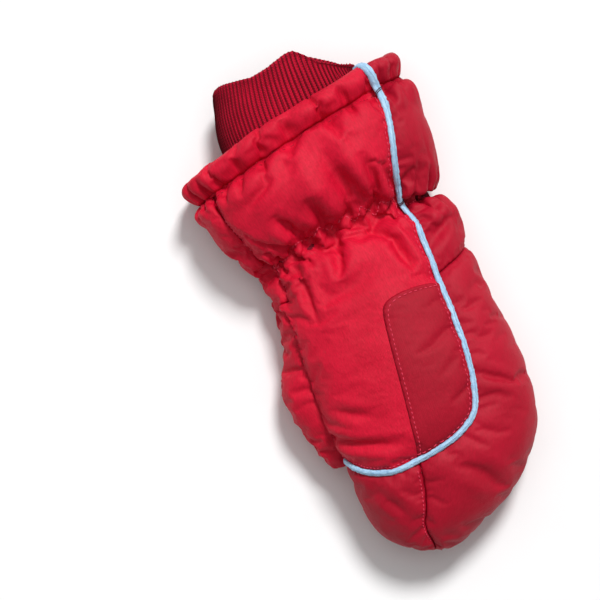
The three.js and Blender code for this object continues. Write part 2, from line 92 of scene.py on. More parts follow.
HEM_THICK = 11.6
HEM_LOOP = 31.0  # fabric round the hem, from stitching to stitching
COLUMNS = 176  # points round the shell
ROW = 1.7  # spacing of the grid along the mitten
ROUND = 45.0  # one radian round the mitten is this much on the pattern
PALM_EDGE = 98.0  # the palm's seam, from the middle of the back, round the little-finger side
THUMB_EDGE = 78.0  # the same on the thumb side
RIBS, RIB_PITCH = 96, 2.7  # of the knitted cuff
STITCH = 2.4  # length of a stitch

# Seams as they lie on the back, from the wrist.
PIPING_LINE = [
    (25, 72), (27.6, 58), (27, 44), (25.5, 31), (24.6, 17.7), (24.5, 7.2), (27.4, -1.8), (29.6, -12.7),
    (31.4, -26), (33, -42), (35.6, -64), (35.8, -79), (35, -92), (32, -102), (25, -108.5), (13, -114),
    (-1, -118.5), (-14, -120.5), (-26, -118.5), (-34.5, -113),
]
TIP_SEAM_LINE = [(-0.5, -118.5), (-0.5, -131), (-2, -142), (-4.5, -153), (-2, -163)]
CROSS_SEAM_LINE = [(32, -31), (42, -27), (52, -21)]
STRIP_LINE = [(-66.5, 24), (-61, 11), (-54, -2.3), (-47, -9), (-45, -16), (-44.5, -26)]
ELASTIC_LINE = [
    (42, 9.5), (36, 8.5), (30, 6.3), (24, 5.7), (13.4, 10.5), (10, 3), (3, 10.5), (-0.4, 2.7), (-7.2, 8),
    (-13.3, 0.3), (-19.8, 5.3), (-24.9, -2.5), (-31.6, 1.3), (-36.4, -5.2), (-44.5, -8.8), (-52, -12),
]
PATCH_SIDE = [(0, -47), (0, -60), (0, -80), (0, -100), (0, -112)]
PATCH_TOP = [(19, -35.3), (9, -37), (2, -40.5)]
PATCH_CORNER = (7, -36.5)  # the patch's top edge meets the piping as far along as this place
# The longest creases: their two ends, how deep and how wide.
CREASES = [
    ((0, 4), (-11, 44), 2.6, 2.6), ((-14, 1), (-19, 18), 2.4, 2.0), ((-25, -2), (-38, 15), 2.6, 2.2),
    ((12, 9), (9, 33), 1.6, 2.0), ((8, -3), (21, -29), 2.0, 2.2), ((-13, 0), (-15, -24), 1.2, 2.0),
    ((-36, -8), (-31, -40), 1.6, 2.2), ((-31, -97), (-2, -108), 1.2, 2.4),
    ((-34, -84), (-14, -92), 0.8, 2.4), ((-52, 22), (-30, 38), 1.2, 2.4), ((27, 8), (42, 8), 1.6, 2.0),
    ((44, -6), (34, -14), 1.2, 2.2), ((40, -84), (54, -92), 0.7, 2.4), ((-24, -126), (-10, -146), 0.8, 3.0),
    ((18, -124), (34, -140), 0.8, 3.0), ((10, 3), (-1, 27), 1.8, 2.2), ((24, 6), (19, 26), 1.2, 2.2),
]
# The stitched legs of the zigzag draw the cloth in, between puckers.
CREASES += [(ELASTIC_LINE[i], ELASTIC_LINE[i + 1], 0.7, 2.2) for i in (3, 5, 7, 9, 11)]

# Thumb stations: y, middle x, half-width.
THUMB_STATIONS = np.array([
    [-17, -39, 8], [-26, -38, 12.5], [-36, -35.5, 15], [-47, -35.5, 16.5], [-60, -38, 17.2],
    [-73, -41, 17.2], [-85, -39.6, 16.2], [-97, -37.8, 13.6], [-106, -37.2, 10.2], [-112.5, -37.8, 6.2],
    [-116, -38.5, 0.6],
])
THUMB_LEVEL = 15.5  # height of its middle
THUMB_FLATNESS = 0.87  # its height as a share of its width
THUMB_TABLE = THUMB_STATIONS[::-1]
THUMB_MIDDLE = (-38, -75)  # where the hand's side is hollowed for it
FLOOR_CLEAR = 0.3


# ------------------------------------------------------------------ numbers
def rng(seed):
    return np.random.default_rng(seed)


def between(a, b, c, d, f):
    """Catmull-Rom value a share f of the way from b to c, with a before them and d after."""
    return b + f * (c - a) / 2 + f**2 * (a - 2.5 * b + 2 * c - d / 2) + f**3 * (1.5 * (b - c) + (d - a) / 2)


def curve(points, spacing):
    """Catmull-Rom curve through the points, at about this spacing along it."""
    p = np.asarray(points, float)
    p = np.vstack([2 * p[0] - p[1], p, 2 * p[-1] - p[-2]])
    t = np.arange(1, len(p) - 2, 0.02)
    i = t.astype(int)
    dense = between(p[i - 1], p[i], p[i + 1], p[i + 2], (t - i)[:, None])
    return evenly(np.vstack([dense, p[-2]]), spacing)


def evenly(points, spacing):
    """The same line with its points evenly spaced."""
    steps = np.linalg.norm(np.diff(points, axis=0), axis=1)
    along = np.concatenate([[0], np.cumsum(steps)])
    count = max(int(round(along[-1] / spacing)), 1) + 1
    wanted = np.linspace(0, along[-1], count)
    return np.stack([np.interp(wanted, along, points[:, k]) for k in range(points.shape[1])], axis=1)


def edge_line(*points, spacing=2.0):
    return evenly(np.array(points, float), spacing)


def spline_rows(table, at):
    """Catmull-Rom value of every column of a table at fractional row numbers."""
    n = len(table)
    i = np.clip(np.floor(at).astype(int), 0, n - 2)
    a, d = table[np.clip(i - 1, 0, n - 1)], table[np.clip(i + 2, 0, n - 1)]
    return between(a, table[i], table[i + 1], d, (at - i)[..., None])


def signed_power(value, exponent):
    return np.sign(value) * np.abs(value) ** exponent


def unit(vectors):
    return vectors / np.maximum(np.linalg.norm(vectors, axis=-1, keepdims=True), 1e-9)


def nearest_on(line, points):
    """Distance from each point to an open line, the nearest place on it, and how far along it is."""
    a, b = line[:-1], line[1:]
    step = b - a
    lengths = np.linalg.norm(step, axis=1)
    start = np.concatenate([[0], np.cumsum(lengths)[:-1]])
    flat = points.reshape(-1, points.shape[-1])
    distance = np.empty(len(flat))
    place = np.empty_like(flat)
    travelled = np.empty(len(flat))
    for low in range(0, len(flat), 20000):
        p = flat[low:low + 20000]
        t = np.clip(((p[:, None] - a) * step).sum(-1) / np.maximum(lengths**2, 1e-9), 0, 1)
        foot = a + t[..., None] * step
        gap = np.linalg.norm(p[:, None] - foot, axis=-1)
        k = gap.argmin(1)
        r = np.arange(len(p))
        distance[low:low + 20000] = gap[r, k]
        place[low:low + 20000] = foot[r, k]
        travelled[low:low + 20000] = start[k] + t[r, k] * lengths[k]
    shape = points.shape[:-1]
    return distance.reshape(shape), place.reshape(points.shape), travelled.reshape(shape)


def inside(outline, points):
    """Whether each point is inside a closed outline: a ray from it crosses the outline an odd number of
    times."""
    x, y = points[..., 0], points[..., 1]
    odd = np.zeros(x.shape, bool)
    for (x0, y0), (x1, y1) in zip(outline, np.roll(outline, -1, axis=0)):
        if y0 != y1:
            crosses = (y0 > y) != (y1 > y)
            odd ^= crosses & (x < x0 + (y - y0) * (x1 - x0) / (y1 - y0))
    return odd


def smooth_noise(shape, cells, seed):
    """Noise between -1 and 1 on a grid, with about this many bumps each way, joined smoothly."""
    knots = rng(seed).uniform(-1, 1, (cells[0] + 4, cells[1] + 4, 1))
    rows = np.linspace(1, cells[0] + 1, shape[0])[:, None] * np.ones(shape[1])
    cols = np.linspace(1, cells[1] + 1, shape[1])[None] * np.ones((shape[0], 1))
    return cubic(knots, rows, cols, wrap=False)[..., 0]


def cubic(grid, row, col, wrap=True):
    """Bicubic (Catmull-Rom) value of a grid at fractional rows and columns."""
    def weights(f):
        first, last = (-f + 2 * f**2 - f**3) / 2, (f**3 - f**2) / 2
        return first, (2 - 5 * f**2 + 3 * f**3) / 2, (f + 4 * f**2 - 3 * f**3) / 2, last

    rows, cols = grid.shape[:2]
    r0 = np.clip(np.floor(row).astype(int), 0, rows - 1)
    c0 = np.floor(col).astype(int)
    wr, wc = weights(row - r0), weights(col - c0)
    total = 0
    for i in range(4):
        r = np.clip(r0 + i - 1, 0, rows - 1)
        for j in range(4):
            c = (c0 + j - 1) % cols if wrap else np.clip(c0 + j - 1, 0, cols - 1)
            total = total + (wr[i] * wc[j])[..., None] * grid[r, c]
    return total


# ------------------------------------------------------------------ the shell's form
middle = (STATIONS[:, 0:2] + STATIONS[:, 2:4]) / 2
moved = (np.linalg.norm(np.diff(STATIONS[:, 0:2], axis=0), axis=1)
         + np.linalg.norm(np.diff(STATIONS[:, 2:4], axis=0), axis=1)) / 2
STATION_S = np.concatenate([[0], np.cumsum(moved)])
STATION_S -= STATION_S[WRIST_STATION]
S_TIP, S_HEM = STATION_S[0] + 4.0, STATION_S[-1]
S_END = S_HEM + HEM_LOOP
ROWS = int(round((S_END - S_TIP) / ROW)) + 1


def thumb_section(y):
    """Middle x and half-width of the thumb at y."""
    at, middle_x, half = THUMB_TABLE.T
    return np.interp(y, at, middle_x), np.interp(y, at, half, left=0, right=0)


def shell_form(a, s, inset=0.0):
    """The shell before it is puffed up. Across, each section is a squared-off oval between the two
    edges, flat below; beyond the stitching it is carried round the hem in a loop. a is the distance
    round the mitten from the middle of the back, and s the distance along it from the wrist."""
    angle = math.pi / 2 - a / ROUND
    at = np.interp(np.minimum(s, S_HEM), STATION_S, np.arange(len(STATIONS)))
    k = spline_rows(STATIONS, at)
    across = (k[..., 2:4] - k[..., 0:2]) / 2
    half = np.maximum(np.linalg.norm(across, axis=-1), 0.5)
    across = across * (np.maximum(half - inset, 0.2) / half)[..., None]
    c, n = np.cos(angle), np.sin(angle)
    side = signed_power(c, 0.84)
    normal = np.stack([-across[..., 1], across[..., 0]], -1) / half[..., None]
    plan = (k[..., 0:2] + k[..., 2:4]) / 2 + across * side[..., None]
    plan = plan + normal * (k[..., 7] * (1 - side**2))[..., None]
    edge = k[..., 4] + (k[..., 5] - k[..., 4]) * (side + 1) / 2
    top = edge + (np.maximum(k[..., 6] - edge - inset, 0.3)) * np.abs(n) ** 0.86
    low = inset + (k[..., 5] * 0.9 - 0.5) * np.clip((STATION_S[3] - s) / 32, 0, 1) ** 2
    under = edge - np.maximum(edge - low, 0.3) * np.minimum(1.12 * np.abs(n) ** 0.7, 1)
    z = np.where(n > 0, top, under)
    point = np.concatenate([plan + WRIST[:2], z[..., None]], -1)
    point[..., 0] += thumb_hollow(shell_plain(point))
    return hem_loop(point, angle, s)


def shell_plain(point):
    return point - np.array([WRIST[0], WRIST[1], 0])


def thumb_hollow(point):
    """How far the hand's side gives way to the thumb that lies against it: to the thumb's oval, grown
    a little, fading out at the thumb's root."""
    centre, half = thumb_section(point[..., 1])
    half = half + 0.6 * (half > 0)
    level = (point[..., 2] - THUMB_LEVEL) / np.maximum(half * THUMB_FLATNESS * 1.12, 0.1)
    reach = centre + half * np.sqrt(np.clip(1 - level**2, 0, 1))
    pressed = np.where((np.abs(level) < 1) & (half > 0.7), np.maximum(reach - point[..., 0], 0), 0)
    return pressed * np.clip((-30 - point[..., 1]) / 16, 0, 1)


def hem_loop(point, angle, s):
    """Carries what lies beyond the stitching out along the gauntlet, over the edge and back inside."""
    t = np.clip((s - S_HEM) / HEM_LOOP, 0, 1)
    along = HEM_WIDTH * np.sin(math.pi * t) ** 0.75
    inward = HEM_THICK * (1 - np.cos(math.pi * t)) / 2 - 2.0 * np.sin(2 * math.pi * t)
    inwards = -np.stack([np.cos(angle) * 0.9, np.cos(angle) * 0.25, np.sin(angle)], -1)
    return point + HEM_AHEAD * along[..., None] + inwards * inward[..., None]


def to_pattern(line):
    """Seam points on the back, as places on the pattern: the nearest place on the form's upper half."""
    a = np.linspace(-ROUND * 1.62, ROUND * 1.62, 420)
    s = np.linspace(S_TIP - 2, S_HEM, 620)
    aa, ss = np.meshgrid(a, s)
    plan = shell_form(aa, ss)[..., :2].reshape(-1, 2)
    wanted = np.asarray(line, float) + WRIST[:2]
    k = [np.argmin(((plan - w) ** 2).sum(1)) for w in wanted]
    return np.stack([aa.ravel()[k], ss.ravel()[k]], 1)


FULL_TURN = 2 * math.pi * ROUND
PALM_END = FULL_TURN - THUMB_EDGE  # the thumb-side seam again, reached round the palm
SEAM_STEP = 1.5
PIPING = curve(to_pattern(PIPING_LINE), SEAM_STEP)
PIPING = np.vstack([[PIPING[0, 0] - 1.0, S_HEM + 0.5], PIPING])
round_the_edge = [[-ROUND * 1.57, PIPING[-1, 1] + 2.0], [-THUMB_EDGE, PIPING[-1, 1] + 4.0]]
PIPING = evenly(np.vstack([PIPING, round_the_edge]), SEAM_STEP)
TIP_SEAM = curve(to_pattern(TIP_SEAM_LINE), SEAM_STEP)
cross_marks, strip_marks = to_pattern(CROSS_SEAM_LINE), to_pattern(STRIP_LINE)
CROSS_SEAM = curve(np.vstack([cross_marks, [PALM_EDGE, cross_marks[-1, 1] + 2]]), SEAM_STEP)
STRIP_SEAM = curve(np.vstack([[strip_marks[0, 0] - 1, S_HEM], strip_marks]), SEAM_STEP)
ELASTIC_MARKS = to_pattern(ELASTIC_LINE)
ELASTIC = evenly(ELASTIC_MARKS, 1.0)
ELASTIC_ROUND = evenly(np.array([ELASTIC[0], [PALM_EDGE, 1.0], [PALM_END, 0.0]]), 1.0)
CORNER_AT = int(np.argmin(np.linalg.norm(PIPING - to_pattern([(32, -102)])[0], axis=1)))


# ------------------------------------------------------------------ meshes
def grid_faces(rows, cols, wrap):
    """Quads of a grid of points, turned so that they face out when rows run to the cuff."""
    i, j = np.meshgrid(np.arange(rows - 1), np.arange(cols if wrap else cols - 1), indexing="ij")
    k = (j + 1) % cols
    quads = [i * cols + j, (i + 1) * cols + j, (i + 1) * cols + k, i * cols + k]
    return np.stack(quads, -1).reshape(-1, 4)


def mesh_of(name, points, faces, scale=0.001):
    """A mesh from points times scale. faces is one array, or a list of arrays that differ in corners."""
    mesh = bpy.data.meshes.new(name)
    points = np.asarray(points, float).reshape(-1, 3) * scale
    mesh.vertices.add(len(points))
    mesh.vertices.foreach_set("co", points.ravel())
    groups = faces if isinstance(faces, list) else [faces]
    corners = np.concatenate([group.ravel() for group in groups])
    sizes = np.concatenate([np.full(len(group), group.shape[1]) for group in groups])
    mesh.loops.add(len(corners))
    mesh.loops.foreach_set("vertex_index", corners)
    mesh.polygons.add(len(sizes))
    mesh.polygons.foreach_set("loop_start", np.cumsum(sizes) - sizes)
    mesh.polygons.foreach_set("use_smooth", np.ones(len(sizes), bool))
    mesh.update(calc_edges=True)
    mesh.validate()
    return mesh


def piece(name, points, faces, material, wall=None):
    """A piece from points in millimetres, with a wall laid inwards if one is given."""
    obj = bpy.data.objects.new(name, mesh_of(name, points, faces))
    bpy.context.collection.objects.link(obj)
    obj.data.materials.append(material)
    if wall:
        solid = obj.modifiers.new("wall", "SOLIDIFY")
        solid.thickness = wall / 1000
        solid.offset = -1
    return obj


def grid_normals(points, wrap):
    """Outward unit normals of a grid: the cross product of its two directions."""
    across = np.roll(points, -1, 1) - np.roll(points, 1, 1) if wrap else np.gradient(points, axis=1)
    along = np.gradient(points, axis=0)
    return unit(np.cross(along, across))


# ------------------------------------------------------------------ cloth
def settle(points, faces, pins, slack, pressure, frames, stiffness, bending):
    """Blows a shape up as cloth. pins holds each point's place, from 0 free to 1 fixed; slack is how much
    longer than the shape the cloth is, as a share. It is done at ten times the size, which suits the
    solver better, and the result is read back into points."""
    shape = points.shape
    obj = bpy.data.objects.new("cloth", mesh_of("cloth", points, faces, scale=0.01))
    bpy.context.collection.objects.link(obj)
    flat_pins, flat_slack = pins.ravel(), slack.ravel()
    most = max(flat_slack.max(), 0.01)
    for name, values in (("pins", flat_pins), ("snug", 1 - flat_slack / most)):
        group = obj.vertex_groups.new(name=name)
        for level in np.unique(np.round(values, 2)):
            members = np.nonzero(np.round(values, 2) == level)[0]
            if level > 0:
                group.add(members.tolist(), float(level), "REPLACE")
    cloth = obj.modifiers.new("cloth", "CLOTH")
    for key, value in {
            "quality": 6, "mass": 0.15, "air_damping": 4, "tension_stiffness": stiffness,
            "compression_stiffness": stiffness, "shear_stiffness": stiffness / 3, "tension_damping": 6,
            "compression_damping": 6, "shear_damping": 6, "bending_stiffness": bending,
            "bending_damping": 1.0, "use_pressure": True, "uniform_pressure_force": pressure,
            "vertex_group_mass": "pins", "pin_stiffness": 1.0, "vertex_group_shrink": "snug",
            "shrink_min": -most, "shrink_max": 0.0}.items():
        setattr(cloth.settings, key, value)
    cloth.settings.effector_weights.gravity = 0
    cloth.collision_settings.use_self_collision = False
    cloth.point_cache.frame_start = 1
    cloth.point_cache.frame_end = frames
    scene = bpy.context.scene
    for number in range(1, frames + 1):
        scene.frame_set(number)
    evaluated = obj.evaluated_get(bpy.context.evaluated_depsgraph_get())
    settled = np.empty(points.size)
    evaluated.data.vertices.foreach_get("co", settled)
    bpy.data.objects.remove(obj)
    scene.frame_set(1)
    return settled.reshape(shape) * 100


def pulled_in(points, normals, distance, depth, width):
    """Draws the surface in towards a seam, deepest on it."""
    return points - normals * (depth * np.exp(-((distance / width) ** 2)))[..., None]


def round_places(columns, around):
    """Places round a form on its pattern, one for each column, from minus to plus half a turn."""
    a = around * (math.pi / 2 - 2 * math.pi * np.arange(columns) / columns)
    return (a + around * math.pi) % (2 * around * math.pi) - around * math.pi


def gathers(line, places, pitch, height, reach, seed):
    """Folds that fan out from a gathered seam: rounded ridges between sharp valleys, as |sin|, a pitch
    apart along the seam. Each leans its own way and runs out after its own length, and the two sides
    differ."""
    distance, foot, travelled = nearest_on(line, places)
    at = travelled / pitch
    above = places[..., 1] > foot[..., 1]
    knots = np.arange(int(at.max()) + 3)
    random = rng(seed)
    total = 0
    for side in (above, ~above):
        lean, tall, far = (np.interp(at, knots, random.uniform(low, high, len(knots)))
                           for low, high in ((-0.45, 0.45), (0.5, 1.3), (0.5, 1.5)))
        phase = at + lean * distance / pitch + 0.5 * random.random()
        fold = np.abs(np.sin(math.pi * phase)) ** 0.7 - 0.65
        total = total + side * fold * tall * np.exp(-((distance / (reach * far)) ** 2))
    return height * total


def creased(form, normals, places, strength):
    """Presses the long creases in, each with a low ridge along both sides, and fading out at its ends."""
    for start, end, depth, width in CREASES:
        line = evenly(to_pattern([start, end]), 1.0)
        distance, _, travelled = nearest_on(line, places)
        fade = np.sin(math.pi * np.clip(travelled / max(travelled.max(), 1e-6), 0.04, 0.96)) ** 0.6
        ridge = 0.45 * np.exp(-(((distance - 2.4 * width) / width) ** 2))
        profile = ridge - np.exp(-((distance / width) ** 2))
        form = form + normals * (strength * profile * depth * fade)[..., None]
    return form


def puffed_shell():
    """The whole shell as cloth: held on its seams, its palm and where the thumb lies, slack round the
    gathered wrist and the hem, and blown up in between."""
    s = S_TIP + np.arange(ROWS) * (S_END - S_TIP) / (ROWS - 1)
    aa, ss = np.meshgrid(round_places(COLUMNS, ROUND), s)
    form = shell_form(aa, ss)
    normals = grid_normals(form, wrap=True)
    pattern = np.stack([aa, ss], -1)
    held = np.zeros(aa.shape)
    once_round = pattern + np.where(aa < -THUMB_EDGE - 10, FULL_TURN, 0)[..., None] * [1, 0]
    for line, depth, width in ((PIPING, 1.5, 4.5), (TIP_SEAM, 1.0, 4.0), (CROSS_SEAM, 1.8, 4.0),
                               (STRIP_SEAM, 1.8, 4.0), (ELASTIC, 2.0, 5.0), (ELASTIC_ROUND, 2.4, 5.0)):
        distance = nearest_on(line, once_round)[0]
        form = pulled_in(form, normals, distance, depth, width)
        held = np.maximum(held, distance < 1.0)
    for seam_s in (S_HEM, S_END):
        form = pulled_in(form, normals, np.abs(ss - seam_s), 3.2, 4.2)
        held = np.maximum(held, np.abs(ss - seam_s) < 0.9)
    edge = (np.abs(aa - PALM_EDGE) < 0.9) | (np.abs(aa + THUMB_EDGE) < 0.9)
    held = np.maximum(held, edge & (ss < S_HEM))
    waist = np.vstack([[[PALM_END, 0.0], [PALM_EDGE, 1.0]], (ELASTIC_MARKS[1:] + ELASTIC_MARKS[:-1]) / 2])
    hem_line = edge_line([PALM_END, S_HEM], [-THUMB_EDGE, S_HEM])
    relief = gathers(evenly(waist, 1.0), once_round, pitch=11.6, height=3.6, reach=14.0, seed=3)
    relief += gathers(hem_line, once_round, pitch=10.5, height=2.8, reach=8.0, seed=4)
    relief += 0.3 * smooth_noise(aa.shape, (34, 28), 5)
    form = creased(form + normals * relief[..., None], normals, pattern, 1.3)
    under = np.clip((np.abs(aa) - THUMB_EDGE) / 10, 0, 1) * (ss < S_HEM)
    from_thumb = np.linalg.norm(shell_plain(form)[..., :2] - THUMB_MIDDLE, axis=-1)
    hollow = np.clip((20 - from_thumb / 3) / 10, 0, 1) * (aa < -66)
    pins = np.maximum(held, 0.18 + 0.3 * np.maximum(under, hollow))
    pins[:2] = 1
    slack = 0.03 + 0.12 * np.exp(-((ss - 2) / 16) ** 2) + 0.09 * np.exp(-((ss - S_HEM) / 9) ** 2)
    slack += 0.03 * np.exp(-((ss - S_HEM - HEM_LOOP / 2) / 12) ** 2)
    slack = np.clip(slack, 0, 0.3) * (1 - 0.6 * under)
    shaped = settle(form, grid_faces(ROWS, COLUMNS, True), pins, slack, pressure=8.0,
                    frames=12, stiffness=45.0, bending=4.0)
    settled_normals = grid_normals(shaped, wrap=True)
    free = 1 - np.clip(np.abs(aa) - THUMB_EDGE, 0, 12) / 12
    shaped = creased(shaped, settled_normals, pattern, 0.5)
    shaped = shaped + settled_normals * (0.4 * relief * free)[..., None]
    shaped[..., 2] = np.maximum(shaped[..., 2], FLOOR_CLEAR)
    return shaped


class Surface:
    """A grid of points that stands for a sewn shape, read at places on its pattern: a is millimetres
    round it from the middle of its back, and s millimetres along it."""

    def __init__(self, points, first, step, around):
        self.points = points
        self.normals = grid_normals(points, wrap=True)
        self.first, self.step, self.around = first, step, around

    def place(self, a, s):
        """Fractional row and column of a place on the pattern."""
        turn = (math.pi / 2 - a / self.around) / (2 * math.pi)
        return (s - self.first) / self.step, turn * self.points.shape[1]

    def normal(self, a, s):
        return unit(cubic(self.normals, *self.place(a, s)))

    def at(self, a, s, lift=0.0):
        """Points at places on the pattern, lifted off the surface along its normal."""
        return cubic(self.points, *self.place(a, s)) + self.normal(a, s) * np.asarray(lift)[..., None]


def capped(points, reach, rings):
    """The grid with a dome added before its first row, which closes it on a single point."""
    centre = points[0].mean(0)
    out = unit(points[0].mean(0) - points[3].mean(0))
    turn = (math.pi / 2 * np.arange(rings, 0, -1) / rings)[:, None, None]
    dome = centre + (points[0] - centre) * np.cos(turn) + out * reach * np.sin(turn)
    return np.concatenate([dome, points])


def shifted(grid, rows, cols):
    """The grid moved by whole cells: its columns close on themselves and its end rows repeat."""
    at = np.clip(np.arange(len(grid)) + rows, 0, len(grid) - 1)
    return np.roll(grid[at], cols, 1)


NEIGHBOURS = ((1, 0), (-1, 0), (0, 1), (0, -1))


def blurred(grid, times):
    """Each point moved to the mean of its four neighbours and twice itself, this many times."""
    for _ in range(times):
        grid = (2 * grid + sum(shifted(grid, *step) for step in NEIGHBOURS)) / 6
    return grid


def beneath(surface, clearance):
    """A smoother copy of a surface that stays this far inside it, even under its deepest creases. It moves
    along the normals of an upright oval, which are the same for every section. Last, each point that is
    nearer than the clearance to any part of the surface around it is pushed in along that part's normal."""
    smooth = blurred(surface.points, 8)
    turn = 2 * math.pi * np.arange(surface.points.shape[1]) / surface.points.shape[1]
    outward = unit(np.stack([0.6 * np.cos(turn), 0 * turn, np.sin(turn)], -1))
    depth = np.minimum(((surface.points - smooth) * outward).sum(-1), 0)
    for _ in range(3):
        depth = np.minimum.reduce([depth] + [shifted(depth, *step) for step in NEIGHBOURS])
    points = smooth + outward * (blurred(depth, 3) - clearance)[..., None]
    normals = grid_normals(surface.points, wrap=True)
    offsets = [(row, col) for row in range(-6, 7) for col in range(-6, 7)]
    for _ in range(3):
        most, push = np.zeros(depth.shape), np.zeros(points.shape)
        for offset in offsets:
            near, out = shifted(surface.points, *offset), shifted(normals, *offset)
            apart = points - near
            height = (apart * out).sum(-1)
            aside = np.linalg.norm(apart - out * height[..., None], axis=-1)
            short = np.where(aside < 3.5, height + clearance * 0.8, 0)
            push = np.where((short > most)[..., None], -out * short[..., None], push)
            most = np.maximum(most, short)
        points = points + push
    return Surface(blurred(points, 1), surface.first, surface.step, surface.around)


ROW_STEP = (S_END - S_TIP) / (ROWS - 1)
TIP_RINGS = 3
S_POLE = S_TIP - TIP_RINGS * ROW_STEP
SHELL = Surface(capped(puffed_shell(), 4.0, TIP_RINGS), S_POLE, ROW_STEP, ROUND)

# ------------------------------------------------------------------ the thumb
THUMB_ROUND = 16.0  # one radian round the thumb is this much on its pattern
THUMB_COLUMNS = 72
THUMB_FIRST, THUMB_ROW = 3.0, 1.5  # where its grid starts from the tip, and its spacing
THUMB_LONG = THUMB_STATIONS[0, 0] - THUMB_STATIONS[-1, 0]
THUMB_ROWS = int(THUMB_LONG / THUMB_ROW)
THUMB_LAST = THUMB_FIRST + (THUMB_ROWS - 1) * THUMB_ROW
THUMB_SEAM = THUMB_ROUND * math.pi / 2  # the seams lie on the thumb's two edges


def thumb_form(a, s):
    """The thumb before it is puffed up: s runs from its tip to its root, and each section is an oval."""
    y = THUMB_TABLE[0, 0] + s
    angle = math.pi / 2 - a / THUMB_ROUND
    k = spline_rows(THUMB_TABLE, np.interp(y, THUMB_TABLE[:, 0], np.arange(len(THUMB_TABLE))))
    half = np.maximum(k[..., 2], 0.4)
    x = k[..., 1] + half * np.cos(angle) + WRIST[0]
    z = THUMB_LEVEL + half * THUMB_FLATNESS * signed_power(np.sin(angle), 0.95)
    return np.stack([x, y + WRIST[1], z], -1)


def puffed_thumb():
    """The thumb as cloth, held on its two seams and where the hand lies against it, slack at its root."""
    s = THUMB_FIRST + np.arange(THUMB_ROWS) * THUMB_ROW
    aa, ss = np.meshgrid(round_places(THUMB_COLUMNS, THUMB_ROUND), s)
    form = thumb_form(aa, ss)
    normals = grid_normals(form, wrap=True)
    seam = np.abs(np.abs(aa) - THUMB_SEAM)
    root = THUMB_LONG - ss
    form = pulled_in(form, normals, seam, 0.9, 3.0)
    form = form + normals * (0.4 * smooth_noise(aa.shape, (26, 18), 21))[..., None]
    covered = np.clip((aa - 4) / 14, 0, 1)
    pins = np.maximum(seam < 0.7, 0.1 + 0.7 * covered)
    pins[:2] = 1
    pins[-3:] = 1
    slack = (0.05 + 0.22 * np.exp(-((root - 14) / 14) ** 2)) * (1 - 0.8 * covered)
    shaped = settle(form, grid_faces(THUMB_ROWS, THUMB_COLUMNS, True), pins, slack, pressure=7.0,
                    frames=10, stiffness=45.0, bending=1.0)
    shaped[..., 2] = np.maximum(shaped[..., 2], FLOOR_CLEAR)
    return shaped


THUMB = Surface(capped(puffed_thumb(), 2.0, 2), THUMB_FIRST - 2 * THUMB_ROW, THUMB_ROW, THUMB_ROUND)


# ------------------------------------------------------------------ materials
WAVES_PER_MM = 0.314  # the wave texture's scale for one ridge a millimetre: pi / 10


def linear(code):
    """An sRGB hex colour as the linear colour that a shader takes."""
    share = np.array([int(code[k:k + 2], 16) for k in (1, 3, 5)]) / 255
    return (*np.where(share <= 0.04045, share / 12.92, ((share + 0.055) / 1.055) ** 2.4), 1.0)


def node(tree, kind, inputs=None, **settings):
    """Adds a node. inputs holds its sockets by name or number: each is a constant, another node's output,
    or a node, for its first output."""
    made = tree.nodes.new("ShaderNode" + kind)
    for key, value in settings.items():
        setattr(made, key, value)
    for key, value in (inputs or {}).items():
        if isinstance(value, bpy.types.Node):
            value = value.outputs[0]
        if isinstance(value, bpy.types.NodeSocket):
            tree.links.new(value, made.inputs[key])
        else:
            made.inputs[key].default_value = value
    return made


